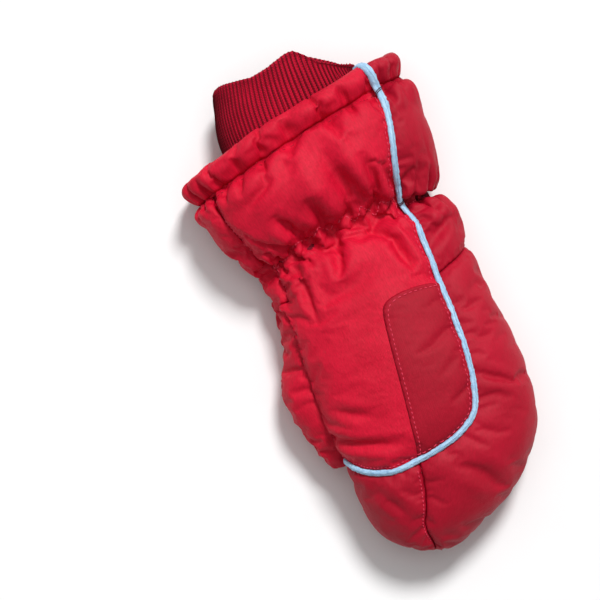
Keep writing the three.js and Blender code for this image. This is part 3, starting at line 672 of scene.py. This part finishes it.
def fabric(name, light, dark, thread, roughness, sheen, relief, crumple, fleck=0.35, coords="grain",
           chevron=0.0):
    """Woven cloth. Two sets of ridges, one thread apart, cross as warp and weft; single threads are a
    little lighter or darker, the cloth is unevenly dyed and worn over its width, and it is finely
    crumpled. In a knitted cloth the rows of stitches point up and down in chevrons of this width, and
    painted shade darkens the yarn between the stitches and in the valleys between the ribs. thread,
    relief and crumple are millimetres."""
    material = bpy.data.materials.new(name)
    material.use_nodes = True
    tree = material.node_tree
    tree.nodes.clear()
    if coords == "grain":
        at = node(tree, "Attribute", attribute_name="grain").outputs["Vector"]
    else:
        objects = node(tree, "TexCoord").outputs["Object"]
        at = node(tree, "VectorMath", {0: objects, 1: (1000,) * 3}, operation="MULTIPLY")
    flecks = node(tree, "VectorMath", {0: at, 1: (0.9, 0.22, 1)}, operation="MULTIPLY")
    yarns = node(tree, "TexNoise", {"Vector": flecks, "Scale": 1.5, "Detail": 3.0, "Roughness": 0.75})
    patches = node(tree, "TexNoise", {"Vector": at, "Scale": 0.035, "Detail": 3.0, "Roughness": 0.55})
    shade = node(tree, "Math", {0: yarns, 1: fleck, 2: 0.5 - fleck / 2}, operation="MULTIPLY_ADD")
    uneven = node(tree, "Math", {0: patches, 1: 0.8, 2: -0.4}, operation="MULTIPLY_ADD")
    mix = node(tree, "Math", {0: shade, 1: uneven}, operation="ADD", use_clamp=True)
    loops = at
    if chevron:
        parts = node(tree, "SeparateXYZ", {0: at}).outputs
        slant = node(tree, "Math", {0: parts[0], 1: chevron / 2}, operation="PINGPONG")
        lean = node(tree, "Math", {0: parts[1], 1: slant}, operation="ADD")
        loops = node(tree, "CombineXYZ", {0: parts[0], 1: lean})
    ridges = {"Vector": loops, "Scale": WAVES_PER_MM / thread, "Distortion": 0.6, "Detail": 1.0}
    warp = node(tree, "TexWave", ridges, wave_type="BANDS", bands_direction="X").outputs[1]
    weft = node(tree, "TexWave", ridges, wave_type="BANDS", bands_direction="Y").outputs[1]
    weave = node(tree, "Math", {0: warp, 1: weft}, operation="MULTIPLY")
    if chevron:
        # Painted shade: the colour darkens in the valleys between the ribs and where the threads of the weave
        # dip.
        ribs = node(tree, "Math", {0: slant, 1: 1.8 / chevron, 2: -0.75}, operation="MULTIPLY_ADD")
        painted_knit_shade = node(tree, "Math", {0: weave, 1: 1.0, 2: ribs}, operation="MULTIPLY_ADD")
        mix = node(tree, "Math", {0: mix, 1: painted_knit_shade}, operation="ADD", use_clamp=True)
    colour = node(tree, "Mix", {0: mix, 6: linear(dark), 7: linear(light)}, data_type="RGBA").outputs[2]
    creases = node(tree, "TexNoise", {
        "Vector": at, "Scale": 0.16, "Detail": 5.0, "Roughness": 0.55, "Distortion": 0.6})
    crumpled = node(tree, "Bump", {"Strength": 1.0, "Distance": crumple / 1000, "Height": creases})
    surface = node(tree, "Bump", {
        "Strength": 1.0, "Distance": relief / 1000, "Height": weave, "Normal": crumpled})
    shader = node(tree, "BsdfPrincipled", {
        "Base Color": colour, "Roughness": roughness, "Sheen Weight": sheen, "Sheen Roughness": 0.45,
        "Sheen Tint": linear(light), "Specular IOR Level": 0.22, "Normal": surface})
    node(tree, "OutputMaterial", {"Surface": shader})
    return material


# The shell: brushed matte polyester, slightly flecked.
SHELL_CLOTH = fabric("brushed_polyester_shell", "#de0a35", "#aa0220", 0.6, 0.62, 0.06, 0.07, 0.45, fleck=1.5)
# The sides, palm and fingertip: smoother coated polyester, a shade darker.
PANEL_CLOTH = fabric("coated_polyester_panel", "#bc062c", "#90011a", 0.5, 0.6, 0.04, 0.05, 0.25, fleck=1.1)
# The patch over the knuckles: the same coated cloth, a little darker and duller.
PATCH_CLOTH = fabric("coated_polyester_patch", "#b00427", "#8a0018", 0.5, 0.66, 0.03, 0.05, 0.25, fleck=1.1)
# Piping: light blue reflective cloth, rolled over a cord and slightly wrinkled.
PIPING_CLOTH = fabric("reflective_piping", "#bfe0f5", "#7ba9d3", 0.35, 0.38, 0.1, 0.03, 1.1, fleck=2.2)
# Polyester thread: pinkish red for the topstitching, red at the hem, dark where it crosses the piping.
THREAD = fabric("sewing_thread", "#e0405c", "#c8304a", 0.3, 0.6, 0.3, 0.02, 0.02, coords="object")
HEM_THREAD = fabric("red_sewing_thread", "#a00a26", "#86051c", 0.3, 0.7, 0.1, 0.02, 0.02, coords="object")
DARK_THREAD = fabric("dark_sewing_thread", "#5a1626", "#38101a", 0.3, 0.6, 0.2, 0.02, 0.02, coords="object")
# Knitted cuff: one-by-one rib in acrylic yarn, its colour darkened by painted shade in the rib valleys and
# between the stitches.
KNIT_CLOTH = fabric("rib_knit_acrylic", "#d50b36", "#640114", 1.35, 0.85, 0.15, 0.45, 0.1, fleck=0.5,
                    chevron=RIB_PITCH)
# Inside: brushed fleece lining, polyester wadding and woven elastic.
LINING_CLOTH = fabric("brushed_fleece_lining", "#7c1226", "#62101f", 0.9, 0.95, 0.6, 0.1, 0.6, coords="object")
WADDING = fabric("polyester_wadding", "#f2f0ea", "#dedcd6", 1.2, 0.95, 0.5, 0.2, 1.2, coords="object")
ELASTIC_BAND = fabric("woven_elastic", "#e4e2dc", "#cfccc4", 0.8, 0.7, 0.1, 0.1, 0.1, coords="object")


# ------------------------------------------------------------------ sewn pieces
def beside(line, offset):
    """The line moved sideways on the pattern, to the side of rising a when it runs towards the fingertips."""
    step = np.gradient(line, axis=0)
    side = unit(np.stack([-step[:, 1], step[:, 0]], -1))
    return line + side * offset


def grain_of(obj, places):
    """Gives the piece its places on the pattern, in millimetres, for the weave to follow."""
    attribute = obj.data.attributes.new("grain", "FLOAT_VECTOR", "POINT")
    flat = np.zeros((len(obj.data.vertices), 3), np.float32)
    flat[:, :2] = places.reshape(-1, 2)
    attribute.data.foreach_set("vector", flat.ravel())


def cut(name, surface, outline, material, step=0.85, wall=0.9, lift=0.0, roll=1.4, drop=1.0, marks=()):
    """One sewn piece: the part of a surface within an outline on its pattern. Points of its grid on the
    piece's edge are moved on to the outline, and near the edge the cloth turns down into the seam by a
    quarter round. marks are lines of stitching, each with the depth and width to which it draws the
    cloth in."""
    low, high = outline.min(0), outline.max(0)
    count = np.ceil((high - low) / step).astype(int) + 1
    along_a, along_s = (np.linspace(low[k], high[k], count[k]) for k in (0, 1))
    places = np.stack(np.meshgrid(along_a, along_s), -1)
    kept = inside(outline, (places[:-1, :-1] + places[1:, 1:]) / 2)
    padded = np.pad(kept, 1)
    around = [padded[:-1, :-1], padded[:-1, 1:], padded[1:, :-1], padded[1:, 1:]]
    used, edge = np.any(around, axis=0), ~np.all(around, axis=0)
    i, j = np.nonzero(kept)
    number = np.cumsum(used).reshape(used.shape) - 1
    faces = np.stack([number[i, j], number[i, j + 1], number[i + 1, j + 1], number[i + 1, j]], -1)
    places, edge = places[used], edge[used]
    distance, nearest, _ = nearest_on(np.vstack([outline, outline[:1]]), places)
    places[edge] = nearest[edge]
    distance[edge] = 0
    turned = 1 - np.clip(distance / roll, 0, 1)
    height = lift - drop * (1 - np.sqrt(1 - turned**2))
    for line, depth, width in marks:
        away, _, travelled = nearest_on(line, places)
        pulls = 0.75 + 0.25 * np.cos(travelled * 2 * math.pi / STITCH)
        height -= depth * np.exp(-((away / width) ** 2)) * pulls
    obj = piece(name, surface.at(places[:, 0], places[:, 1], height), faces, material, wall)
    grain_of(obj, places)
    return obj


def tubes(centre, up, radius, sides, flat=1.0):
    """Closed tubes. centre is (tubes, rings, 3) and up the same; radius fits (tubes, rings). Each ring is
    radius * (sin t across, flat * cos t up), and a point closes each end."""
    along = unit(np.gradient(centre, axis=1))
    across = unit(np.cross(along, up))
    upward = np.cross(across, along)
    turn = 2 * math.pi * np.arange(sides) / sides
    ring = across[:, :, None] * np.sin(turn)[:, None] + upward[:, :, None] * (flat * np.cos(turn))[:, None]
    radius = np.broadcast_to(radius, centre.shape[:2])
    body = centre[:, :, None] + ring * radius[..., None, None]
    n, m = centre.shape[:2]
    tail = centre[:, :1] - along[:, :1] * radius[:, :1, None] * 0.5
    head = centre[:, -1:] + along[:, -1:] * radius[:, -1:, None] * 0.5
    points = np.concatenate([body.reshape(n, m * sides, 3), tail, head], 1)
    each = m * sides + 2
    i, j = np.meshgrid(np.arange(m - 1), np.arange(sides), indexing="ij")
    k = (j + 1) % sides
    quads = [i * sides + j, i * sides + k, (i + 1) * sides + k, (i + 1) * sides + j]
    quads = np.stack(quads, -1).reshape(-1, 4)
    j, k, last = j[0], k[0], (m - 1) * sides
    tail_fan = np.stack([np.full(sides, each - 2), k, j], -1)
    head_fan = np.stack([np.full(sides, each - 1), last + j, last + k], -1)
    ends = np.concatenate([tail_fan, head_fan])
    offset = (np.arange(n) * each)[:, None, None]
    return points.reshape(-1, 3), [(quads + offset).reshape(-1, 4), (ends + offset).reshape(-1, 3)]


def stitches(name, surface, line, material, lift, radius=0.27):
    """A row of machine stitches: for every stitch along the line, a short thread that arches over the
    cloth and dips through it at both ends. It shows over 0.62 of the stitch."""
    knots = evenly(line, STITCH)
    part = np.linspace(0.19, 0.81, 5)
    spots = knots[:-1, None] + (knots[1:] - knots[:-1])[:, None] * part[:, None]
    arch = lift + radius * np.array([-1.1, 0.35, 0.6, 0.35, -1.1])
    a, s = spots[..., 0], spots[..., 1]
    slimmer = radius * np.array([0.7, 1, 1, 1, 0.7])
    points, faces = tubes(surface.at(a, s, arch), surface.normal(a, s), slimmer, 6)
    return piece(name, points, faces, material)


def at_wrist(obj, *nodes, fill=None):
    """A piece that crosses the wrist fold, from the hand to the gauntlet: its place is baked into its points.
    """
    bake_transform(obj)
    return finished(obj, nodes)


def on_body(obj, body, *nodes, fill=None):
    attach(obj, body)
    return finished(obj, nodes)


def at_thumb(obj, *nodes, fill=None):
    """A piece that is sewn to the hand where the thumb swings."""
    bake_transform(obj)
    return finished(obj, nodes)


def box_outline(a_from, a_to, s_from, s_to, spacing):
    """A rectangle on the pattern, as an outline with evenly spaced points."""
    corners = [[a_from, s_from], [a_to, s_from], [a_to, s_to], [a_from, s_to], [a_from, s_from]]
    return edge_line(*corners, spacing=spacing)[:-1]


def finished(obj, nodes):
    if nodes:
        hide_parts(*nodes)
    return obj


cross_at = int(np.argmin(np.linalg.norm(PIPING - CROSS_SEAM[0], axis=1)))
tip_at = int(np.argmin(np.linalg.norm(PIPING - TIP_SEAM[0], axis=1)))
CROSS = np.vstack([PIPING[cross_at], CROSS_SEAM[1:-1], [PALM_EDGE, CROSS_SEAM[-1, 1]]])
TIP = np.vstack([PIPING[tip_at], TIP_SEAM[1:], [TIP_SEAM[-1, 0], S_POLE]])
STRIP = np.vstack([STRIP_SEAM, [-THUMB_EDGE, STRIP_SEAM[-1, 1] - 3]])
PIPING_TOP = PIPING[0, 0]
patch_from = int(np.argmin(np.abs(PIPING[:CORNER_AT, 1] - to_pattern([PATCH_CORNER])[0, 1])))
patch_edge = np.vstack([PIPING[patch_from], to_pattern(PATCH_TOP + PATCH_SIDE), PIPING[tip_at]])
PATCH_STITCHED = curve(patch_edge, 1.5)

back_outline = np.vstack([PIPING, STRIP[::-1], [[STRIP[0, 0], S_HEM], [PIPING_TOP, S_HEM]]])
side_outline = np.vstack([PIPING[:cross_at], CROSS, [[PALM_EDGE, S_HEM], [PIPING_TOP, S_HEM]]])
finger_outline = np.vstack([PIPING[cross_at:tip_at], TIP, [[PALM_EDGE, S_POLE]], CROSS[::-1]])
tip_outline = np.vstack([PIPING[tip_at:], [[-THUMB_EDGE, S_POLE]], TIP[::-1]])
palm_outline = np.array([[PALM_EDGE, S_POLE], [PALM_END, S_POLE], [PALM_END, S_HEM], [PALM_EDGE, S_HEM]])
strip_outline = np.vstack([STRIP, [[-THUMB_EDGE, S_HEM]]])
patch_outline = np.vstack([PATCH_STITCHED, PIPING[patch_from:tip_at][::-1]])

# Rows of stitching, and how far they draw the cloth in.
hem_row = edge_line([-THUMB_EDGE, S_HEM - 1.2], [PALM_EDGE, S_HEM - 1.2])
zigzag_marks, hem_marks = (ELASTIC, 0.8, 1.3), (hem_row, 0.4, 1.0)
by_piping = beside(PIPING[:patch_from], -3.2)
patch_row = beside(PATCH_STITCHED[2:-2], 1.6)
patch_by_piping = beside(PIPING[patch_from:tip_at], -3.2)
back_by_piping = beside(PIPING[tip_at:-6], -3.0)
tip_row = beside(TIP[3:-5], -1.6)
strip_row = beside(STRIP[2:-4], 1.6)

back_panel = cut("back_panel_cloth", SHELL, back_outline, SHELL_CLOTH, marks=(
    zigzag_marks, (by_piping, 0.35, 0.9), (back_by_piping, 0.35, 0.9), (strip_row, 0.3, 0.9), hem_marks))
at_wrist(back_panel, "back_panel_hand", "back_panel_cuff", fill=0.6)
side_panel = cut("side_panel_cloth", SHELL, side_outline, PANEL_CLOTH,
                 marks=(zigzag_marks, hem_marks))
at_wrist(side_panel, "side_panel_upper", "side_panel_cuff", fill=0.6)
side_and_finger = cut("side_and_finger_panel_cloth", SHELL, finger_outline, PANEL_CLOTH)
on_body(side_and_finger, "hand", "side_and_finger_panel", fill=0.6)
fingertip = cut("fingertip_panel_cloth", SHELL, tip_outline, PANEL_CLOTH,
                marks=((tip_row, 0.35, 0.9),))
on_body(fingertip, "hand", "fingertip_panel", fill=0.6)
palm = cut("palm_panel_cloth", SHELL, palm_outline, PANEL_CLOTH, step=1.15)
at_wrist(palm, "palm_panel_hand", "palm_panel_cuff", fill=0.5)
strip = cut("thumb_side_strip_cloth", SHELL, strip_outline, SHELL_CLOTH)
at_wrist(strip, "thumb_side_gusset", fill=0.5)
patch = cut("knuckle_patch_cloth", SHELL, patch_outline, PATCH_CLOTH, wall=0.7, lift=0.75,
            drop=0.7, roll=1.1, marks=((patch_row, 0.4, 0.8), (patch_by_piping, 0.35, 0.8)))
on_body(patch, "hand", "knuckle_patch", fill=0.3)

for name, first, last, cloth, slot in (
        ("hem_back", -THUMB_EDGE, PIPING_TOP, SHELL_CLOTH, "shell"),
        ("hem_side", PIPING_TOP, PALM_EDGE, PANEL_CLOTH, "panel"),
        ("hem_palm", PALM_EDGE, PALM_END, SHELL_CLOTH, "shell")):
    hem = cut(name + "_cloth", SHELL, box_outline(first, last, S_HEM, S_END, 2.0), cloth)
    on_body(hem, "gauntlet", name, fill=0.7)

# ------------------------------------------------------------------ piping
PIPING_SIDES, PIPING_FLAT = 14, 0.72
over_hem = edge_line(PIPING[0], [PIPING_TOP, S_END - 4], spacing=1.0)[::-1]
piping_path = np.vstack([over_hem[:-1], evenly(PIPING, 1.0)])
on_gauntlet = np.clip(piping_path[:, 1] / 20, 0, 1)
on_hem = np.clip((piping_path[:, 1] - S_HEM + 12) / 16, 0, 1)
thick = 1.55 + 0.1 * on_gauntlet + 0.5 * on_hem


def eased(line, reach):
    """The line with each point moved to the mean of its neighbours within reach; its ends stay."""
    window = np.hanning(2 * reach + 3)[1:-1]
    ends = np.concatenate([np.repeat(line[:1], reach, 0), line, np.repeat(line[-1:], reach, 0)])
    return np.stack([np.convolve(ends[:, k], window / window.sum(), "valid") for k in range(3)], 1)


lie = eased(SHELL.at(*piping_path.T, 0.8), 6)
up = eased(SHELL.normal(*piping_path.T), 5)
points, faces = tubes(lie[None], up[None], thick[None], PIPING_SIDES, PIPING_FLAT)
rings = points[:-2].reshape(len(thick), PIPING_SIDES, 3)
rings += (rings - lie[:, None]) * rng(31).normal(0, 0.08, rings.shape[:2])[..., None]  # wrinkles
piping = piece("piping", points, faces, PIPING_CLOTH)
round_it, along_it = np.meshgrid(np.arange(PIPING_SIDES) * 0.8, np.arange(len(thick)))
grain_of(piping, np.vstack([np.stack([round_it.ravel(), along_it.ravel()], -1), np.zeros((2, 2))]))
at_wrist(piping, "piping_hand", "piping_cuff")


def crossing_thread(name, s_at):
    """Two turns of dark thread that cross over the piping where a seam passes under it."""
    k = int(np.argmin(np.abs(piping_path[:, 1] - s_at)))
    along, up = unit(lie[k + 1] - lie[k - 1]), SHELL.normal(*piping_path[k])
    turn = np.linspace(-1.9, 1.9, 15)
    reach = thick[k] + 0.12
    arc = (np.cross(along, up) * np.sin(turn)[:, None] + 0.9 * up * np.cos(turn)[:, None]) * reach
    start = lie[k] + along * np.array([[0.0], [0.9]]) * np.ones((1, 3))
    lean = along * (turn * 0.5)[:, None]
    centre = start[:, None] + arc + lean
    points, faces = tubes(centre, unit(arc) * np.ones((2, 1, 1)), 0.2, 6)
    return piece(name, points, faces, DARK_THREAD)


on_body(crossing_thread("thread_over_piping_hem", S_HEM - 1.0), "gauntlet")
at_wrist(crossing_thread("thread_over_piping_wrist", 3.0))

# ------------------------------------------------------------------ stitching
at_wrist(stitches("zigzag_stitching_back", SHELL, ELASTIC, THREAD, lift=-0.55, radius=0.3))
at_wrist(stitches("elastic_stitching_round", SHELL, ELASTIC_ROUND, THREAD, lift=-0.1))
at_wrist(stitches("stitching_by_piping", SHELL, by_piping, THREAD, lift=-0.2))
at_wrist(stitches("stitching_by_strip", SHELL, strip_row, THREAD, lift=-0.15))
for name, row, lift in (
        ("stitching_below_patch", back_by_piping, -0.2), ("patch_stitching_edge", patch_row, 0.5),
        ("patch_stitching_piping", patch_by_piping, 0.55), ("fingertip_stitching", tip_row, -0.2)):
    on_body(stitches(name, SHELL, row, THREAD, lift=lift), "hand")
on_body(stitches("hem_stitching", SHELL, hem_row, HEM_THREAD, lift=-0.45), "gauntlet")

# ------------------------------------------------------------------ thumb
for name, first in (("thumb_back_panel", -THUMB_SEAM), ("thumb_palm_panel", THUMB_SEAM)):
    outline = box_outline(first, first + 2 * THUMB_SEAM, 0.2, THUMB_LAST, 2.0)
    at_thumb(cut(name + "_cloth", THUMB, outline, SHELL_CLOTH), name, fill=0.5)
thumb_row = edge_line([1.6 - THUMB_SEAM, 4], [1.6 - THUMB_SEAM, THUMB_LAST - 2])
at_thumb(stitches("thumb_stitching", THUMB, thumb_row, THREAD, lift=-0.15))


# ------------------------------------------------------------------ inside
def layer(name, surface, box, depth, wall, material, step=3.0):
    """A hidden layer that lies this far below a surface, over a box of its pattern."""
    a_from, a_to, s_from, s_to = box
    outline = np.array([[a_from, s_from], [a_to, s_from], [a_to, s_to], [a_from, s_to]], float)
    return cut(name, surface, outline, material, step=step, wall=wall, lift=-depth, drop=0)


PAD_DEPTH, PAD_WALL = 3.0, 1.7
PAD_GAP = 9.0  # the hand's wadding stops this far short of the gathered wrist
PAD_GAP_CUFF = 1.7 * PAD_GAP  # the gauntlet's
PAD_SURFACE = beneath(SHELL, PAD_DEPTH)
THUMB_PAD_SURFACE = beneath(THUMB, 1.9)
for name, body, box in (
        ("padding_back_hand", "hand", (4 - THUMB_EDGE, PALM_EDGE, S_TIP + 12, -PAD_GAP)),
        ("padding_palm_hand", "hand", (PALM_EDGE, PALM_END - 4, S_TIP + 12, -PAD_GAP)),
        ("padding_back_cuff", "gauntlet", (-THUMB_EDGE, PALM_EDGE, PAD_GAP_CUFF, S_HEM - 5)),
        ("padding_palm_cuff", "gauntlet", (PALM_EDGE, PALM_END, PAD_GAP_CUFF, S_HEM - 5))):
    wadding = layer(name + "_wadding", PAD_SURFACE, box, 0, PAD_WALL, WADDING)
    on_body(wadding, body, name, fill=0.6)
band = layer("wrist_elastic_band", beneath(SHELL, PAD_DEPTH + 2.3), (16 - THUMB_EDGE, PALM_EDGE - 8, -3, 3),
             0, 0.5, ELASTIC_BAND)
on_body(band, "hand", "wrist_elastic")
thumb_box = (-THUMB_SEAM, 3 * THUMB_SEAM, 3, THUMB_LAST - 1)
thumb_pad = layer("thumb_wadding", THUMB_PAD_SURFACE, thumb_box, 0, 1.8, WADDING, 2.0)
at_thumb(thumb_pad, "thumb_padding", fill=0.6)
thumb_box = (-THUMB_SEAM, 3 * THUMB_SEAM, 5, THUMB_LAST - 1)
thumb_in = layer("thumb_lining_cloth", THUMB_PAD_SURFACE, thumb_box, 2.1, 0.8, LINING_CLOTH, 2.0)
at_thumb(thumb_in, "thumb_lining")

# The lining is closed at the fingertips, and its mouth runs up to the hem's inner edge.
LINING_COLUMNS = 128
LINING_TIP, JOINED_OVER = 14, 16  # its start from the fingertip; the length over which it meets the hem
rows = np.linspace(S_TIP + LINING_TIP, S_HEM, 90)
aa, ss = np.meshgrid(round_places(LINING_COLUMNS, ROUND), rows)
form = beneath(SHELL, PAD_DEPTH + PAD_WALL + 1.6).at(aa, ss, 0.3 * smooth_noise(aa.shape, (18, 14), 41))
joined = np.clip((ss - S_HEM + JOINED_OVER) / JOINED_OVER, 0, 1)[..., None] ** 2
form = form * (1 - joined) + SHELL.at(aa, np.full(aa.shape, S_END - 3.0), 0.3) * joined
lining_points = capped(form, 2.5, 3)
wrist_row = int(np.searchsorted(rows, 0))
for name, part in (("lining_hand", lining_points[:wrist_row + 3]),
                   ("lining_cuff", lining_points[wrist_row + 2:])):
    faces = grid_faces(len(part), LINING_COLUMNS, True)
    at_wrist(piece(name + "_cloth", part, faces, LINING_CLOTH, 0.8), name)

# ------------------------------------------------------------------ knitted cuff
low, high = (np.array(corner) * 1000 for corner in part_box("knit_cuff"))
KNIT_MIDDLE = (low + high) / 2
KNIT_STATIONS = np.array([  # along the cuff: left x, y; right x, y; middle z; half the height
    [-28.9, -39, 43.1, -22.4, -1.0, 9.5], [-34, -26, 42, -9, -0.8, 11.5], [-40, -12, 39, 5, -0.2, 12.2],
    [-43, 2, 35, 17, 0.4, 12.2], [-43.5, 14, 32, 27, 1.0, 12.0], [-42.5, 23, 30, 34, 1.4, 11.8],
    [-41.5, 31, 29, 38, 1.6, 11.6],
])
RIB_DEPTH, RIB_POINTS = 1.15, 6
KNIT_WALL = 2.0  # from the outside of the cuff, round the fold, to its inside
KNIT_OUTSIDE, KNIT_INSIDE = 56, 30  # rows of points on the outer and the inner layer
# Its folded edge from side to side, and how much lower the front lies, so that the inside shows.
KNIT_TOP_EDGE = (
    [-1, -0.95, -0.88, -0.8, -0.4, -0.1, 0.08, 0.18, 0.26, 0.34, 0.42, 0.5, 0.7, 0.85, 1],
    [-2.5, -0.6, 0.3, 0.2, -1.4, 0.2, 2.4, 3.7, 4.2, 4.0, 3.0, 1.2, -3.8, -7.5, -13])
KNIT_FRONT_LOWER = ([0, 0.32, 0.55, 0.85, 1], [0, 0, 4.5, 3.0, 0])


def knit_form(angle, v, inset):
    """The cuff's oval at v from 0, inside the gauntlet, to 1, its fold."""
    k = spline_rows(KNIT_STATIONS, v * (len(KNIT_STATIONS) - 1))
    centre, across = (k[..., 0:2] + k[..., 2:4]) / 2, (k[..., 2:4] - k[..., 0:2]) / 2
    half = np.linalg.norm(across, axis=-1)
    side = np.cos(angle)
    plan = centre + across * (side * (half - inset) / half)[..., None]
    edge = np.interp(side, *KNIT_TOP_EDGE) - np.interp(side, *KNIT_FRONT_LOWER) * (np.sin(angle) > 0)
    plan = plan + KNIT_AXIS[:2] * (v**3 * edge)[..., None]
    z = k[..., 4] + (k[..., 5] - inset) * signed_power(np.sin(angle), 0.9)
    return np.concatenate([plan, z[..., None]], -1) + KNIT_MIDDLE


columns = RIBS * RIB_POINTS
angle = math.pi / 2 - 2 * math.pi * np.arange(columns) / columns
outer_v = np.linspace(0, 1, KNIT_OUTSIDE)
fold = np.linspace(0, math.pi, 9)[1:-1]
v_rows = np.concatenate([outer_v, np.full(len(fold), 1.0), outer_v[::-1][:KNIT_INSIDE]])
turn = np.concatenate([np.zeros(KNIT_OUTSIDE), fold, np.full(KNIT_INSIDE, math.pi)])
insets = KNIT_WALL * (1 - np.cos(turn)) / 2
past = KNIT_WALL * 0.6 * np.sin(turn)
tt, vv = np.meshgrid(angle, v_rows)
smooth = knit_form(tt, vv, insets[:, None] * np.ones(columns)) + KNIT_AXIS * past[:, None, None]
knit_normals = grid_normals(smooth, True)
phase = np.arange(columns) / RIB_POINTS
rib = np.abs(np.sin(math.pi * phase)) ** 0.8 * RIB_DEPTH
wobble = smooth_noise(tt.shape, (9, 22), 51)
rib_fade = 1 - 0.8 * np.exp(-(((1 - v_rows) / 0.05) ** 2))[:, None]  # ribs flatten round the fold
knit_points = smooth + knit_normals * (rib * rib_fade + 0.5 * wobble)[..., None]
knit = piece("knit_cuff_ribbed", knit_points, grid_faces(len(v_rows), columns, True), KNIT_CLOTH)
along_mm = np.cumsum(np.concatenate([[0], np.linalg.norm(np.diff(smooth[:, 0], axis=0), axis=1)]))
grain_of(knit, np.stack(np.broadcast_arrays(phase * RIB_PITCH, along_mm[:, None]), -1))
on_body(knit, "knit_cuff", "knit_cuff")

# ------------------------------------------------------------------ stage
FLOOR = fabric("white_table", "#f6f6f6", "#f2f2f2", 1.0, 0.9, 0.0, 0.0, 0.0, coords="object")
FLOOR_HALF = 4000
floor_corners = FLOOR_HALF * np.array([[-1, -1, 0], [1, -1, 0], [1, 1, 0], [-1, 1, 0]])
floor = bpy.data.objects.new("floor", mesh_of("floor", floor_corners, np.array([[0, 1, 2, 3]])))
bpy.context.collection.objects.link(floor)
floor.data.materials.append(FLOOR)

scene = bpy.context.scene
world = bpy.data.worlds.new("surround")
scene.world = world
world.use_nodes = True
world.node_tree.nodes.clear()
SKY, SKY_SEEN = 0.32, 1.0  # strength of the sky on the mitten, and as the camera sees it
tree = world.node_tree
rays = node(tree, "LightPath").outputs["Is Camera Ray"]
strength = node(tree, "Math", {0: rays, 1: SKY_SEEN - SKY, 2: SKY}, operation="MULTIPLY_ADD")
sky = node(tree, "Background", {"Color": (1, 1, 1, 1), "Strength": strength})
node(tree, "OutputWorld", {"Surface": sky})

lamp_data = bpy.data.lights.new("lamp", "AREA")
lamp_data.energy, lamp_data.size = 0.42, 0.4
lamp = bpy.data.objects.new("lamp", lamp_data)
bpy.context.collection.objects.link(lamp)
lamp.location = (0.0, 0.13, 0.46)

sun = bpy.data.lights.new("key", "SUN")
sun.energy, sun.angle = 2.95, math.radians(14)
key = bpy.data.objects.new("key", sun)
bpy.context.collection.objects.link(key)
SUN_WAY = (-0.3, -0.58, -0.76)  # the way that its light travels
key.rotation_euler = Vector(SUN_WAY).to_track_quat("-Z", "Y").to_euler()

LENS, VIEW_WIDTH = 120.0, 300.0
camera_data = bpy.data.cameras.new("camera")
camera_data.lens = LENS
camera = bpy.data.objects.new("camera", camera_data)
bpy.context.collection.objects.link(camera)
view_up = unit(np.array([0.246, 0.969, 0.0]))
view_right = np.cross(view_up, UP)
aim = WRIST * [1, 1, 0] + [-37.3, -27.2, 30]
stand = (aim + UP * VIEW_WIDTH * LENS / 36) / 1000
camera.matrix_world = Matrix([[view_right[k], view_up[k], UP[k], stand[k]] for k in range(3)] + [[0, 0, 0, 1]])
scene.camera = camera
scene.view_settings.view_transform = "Standard"
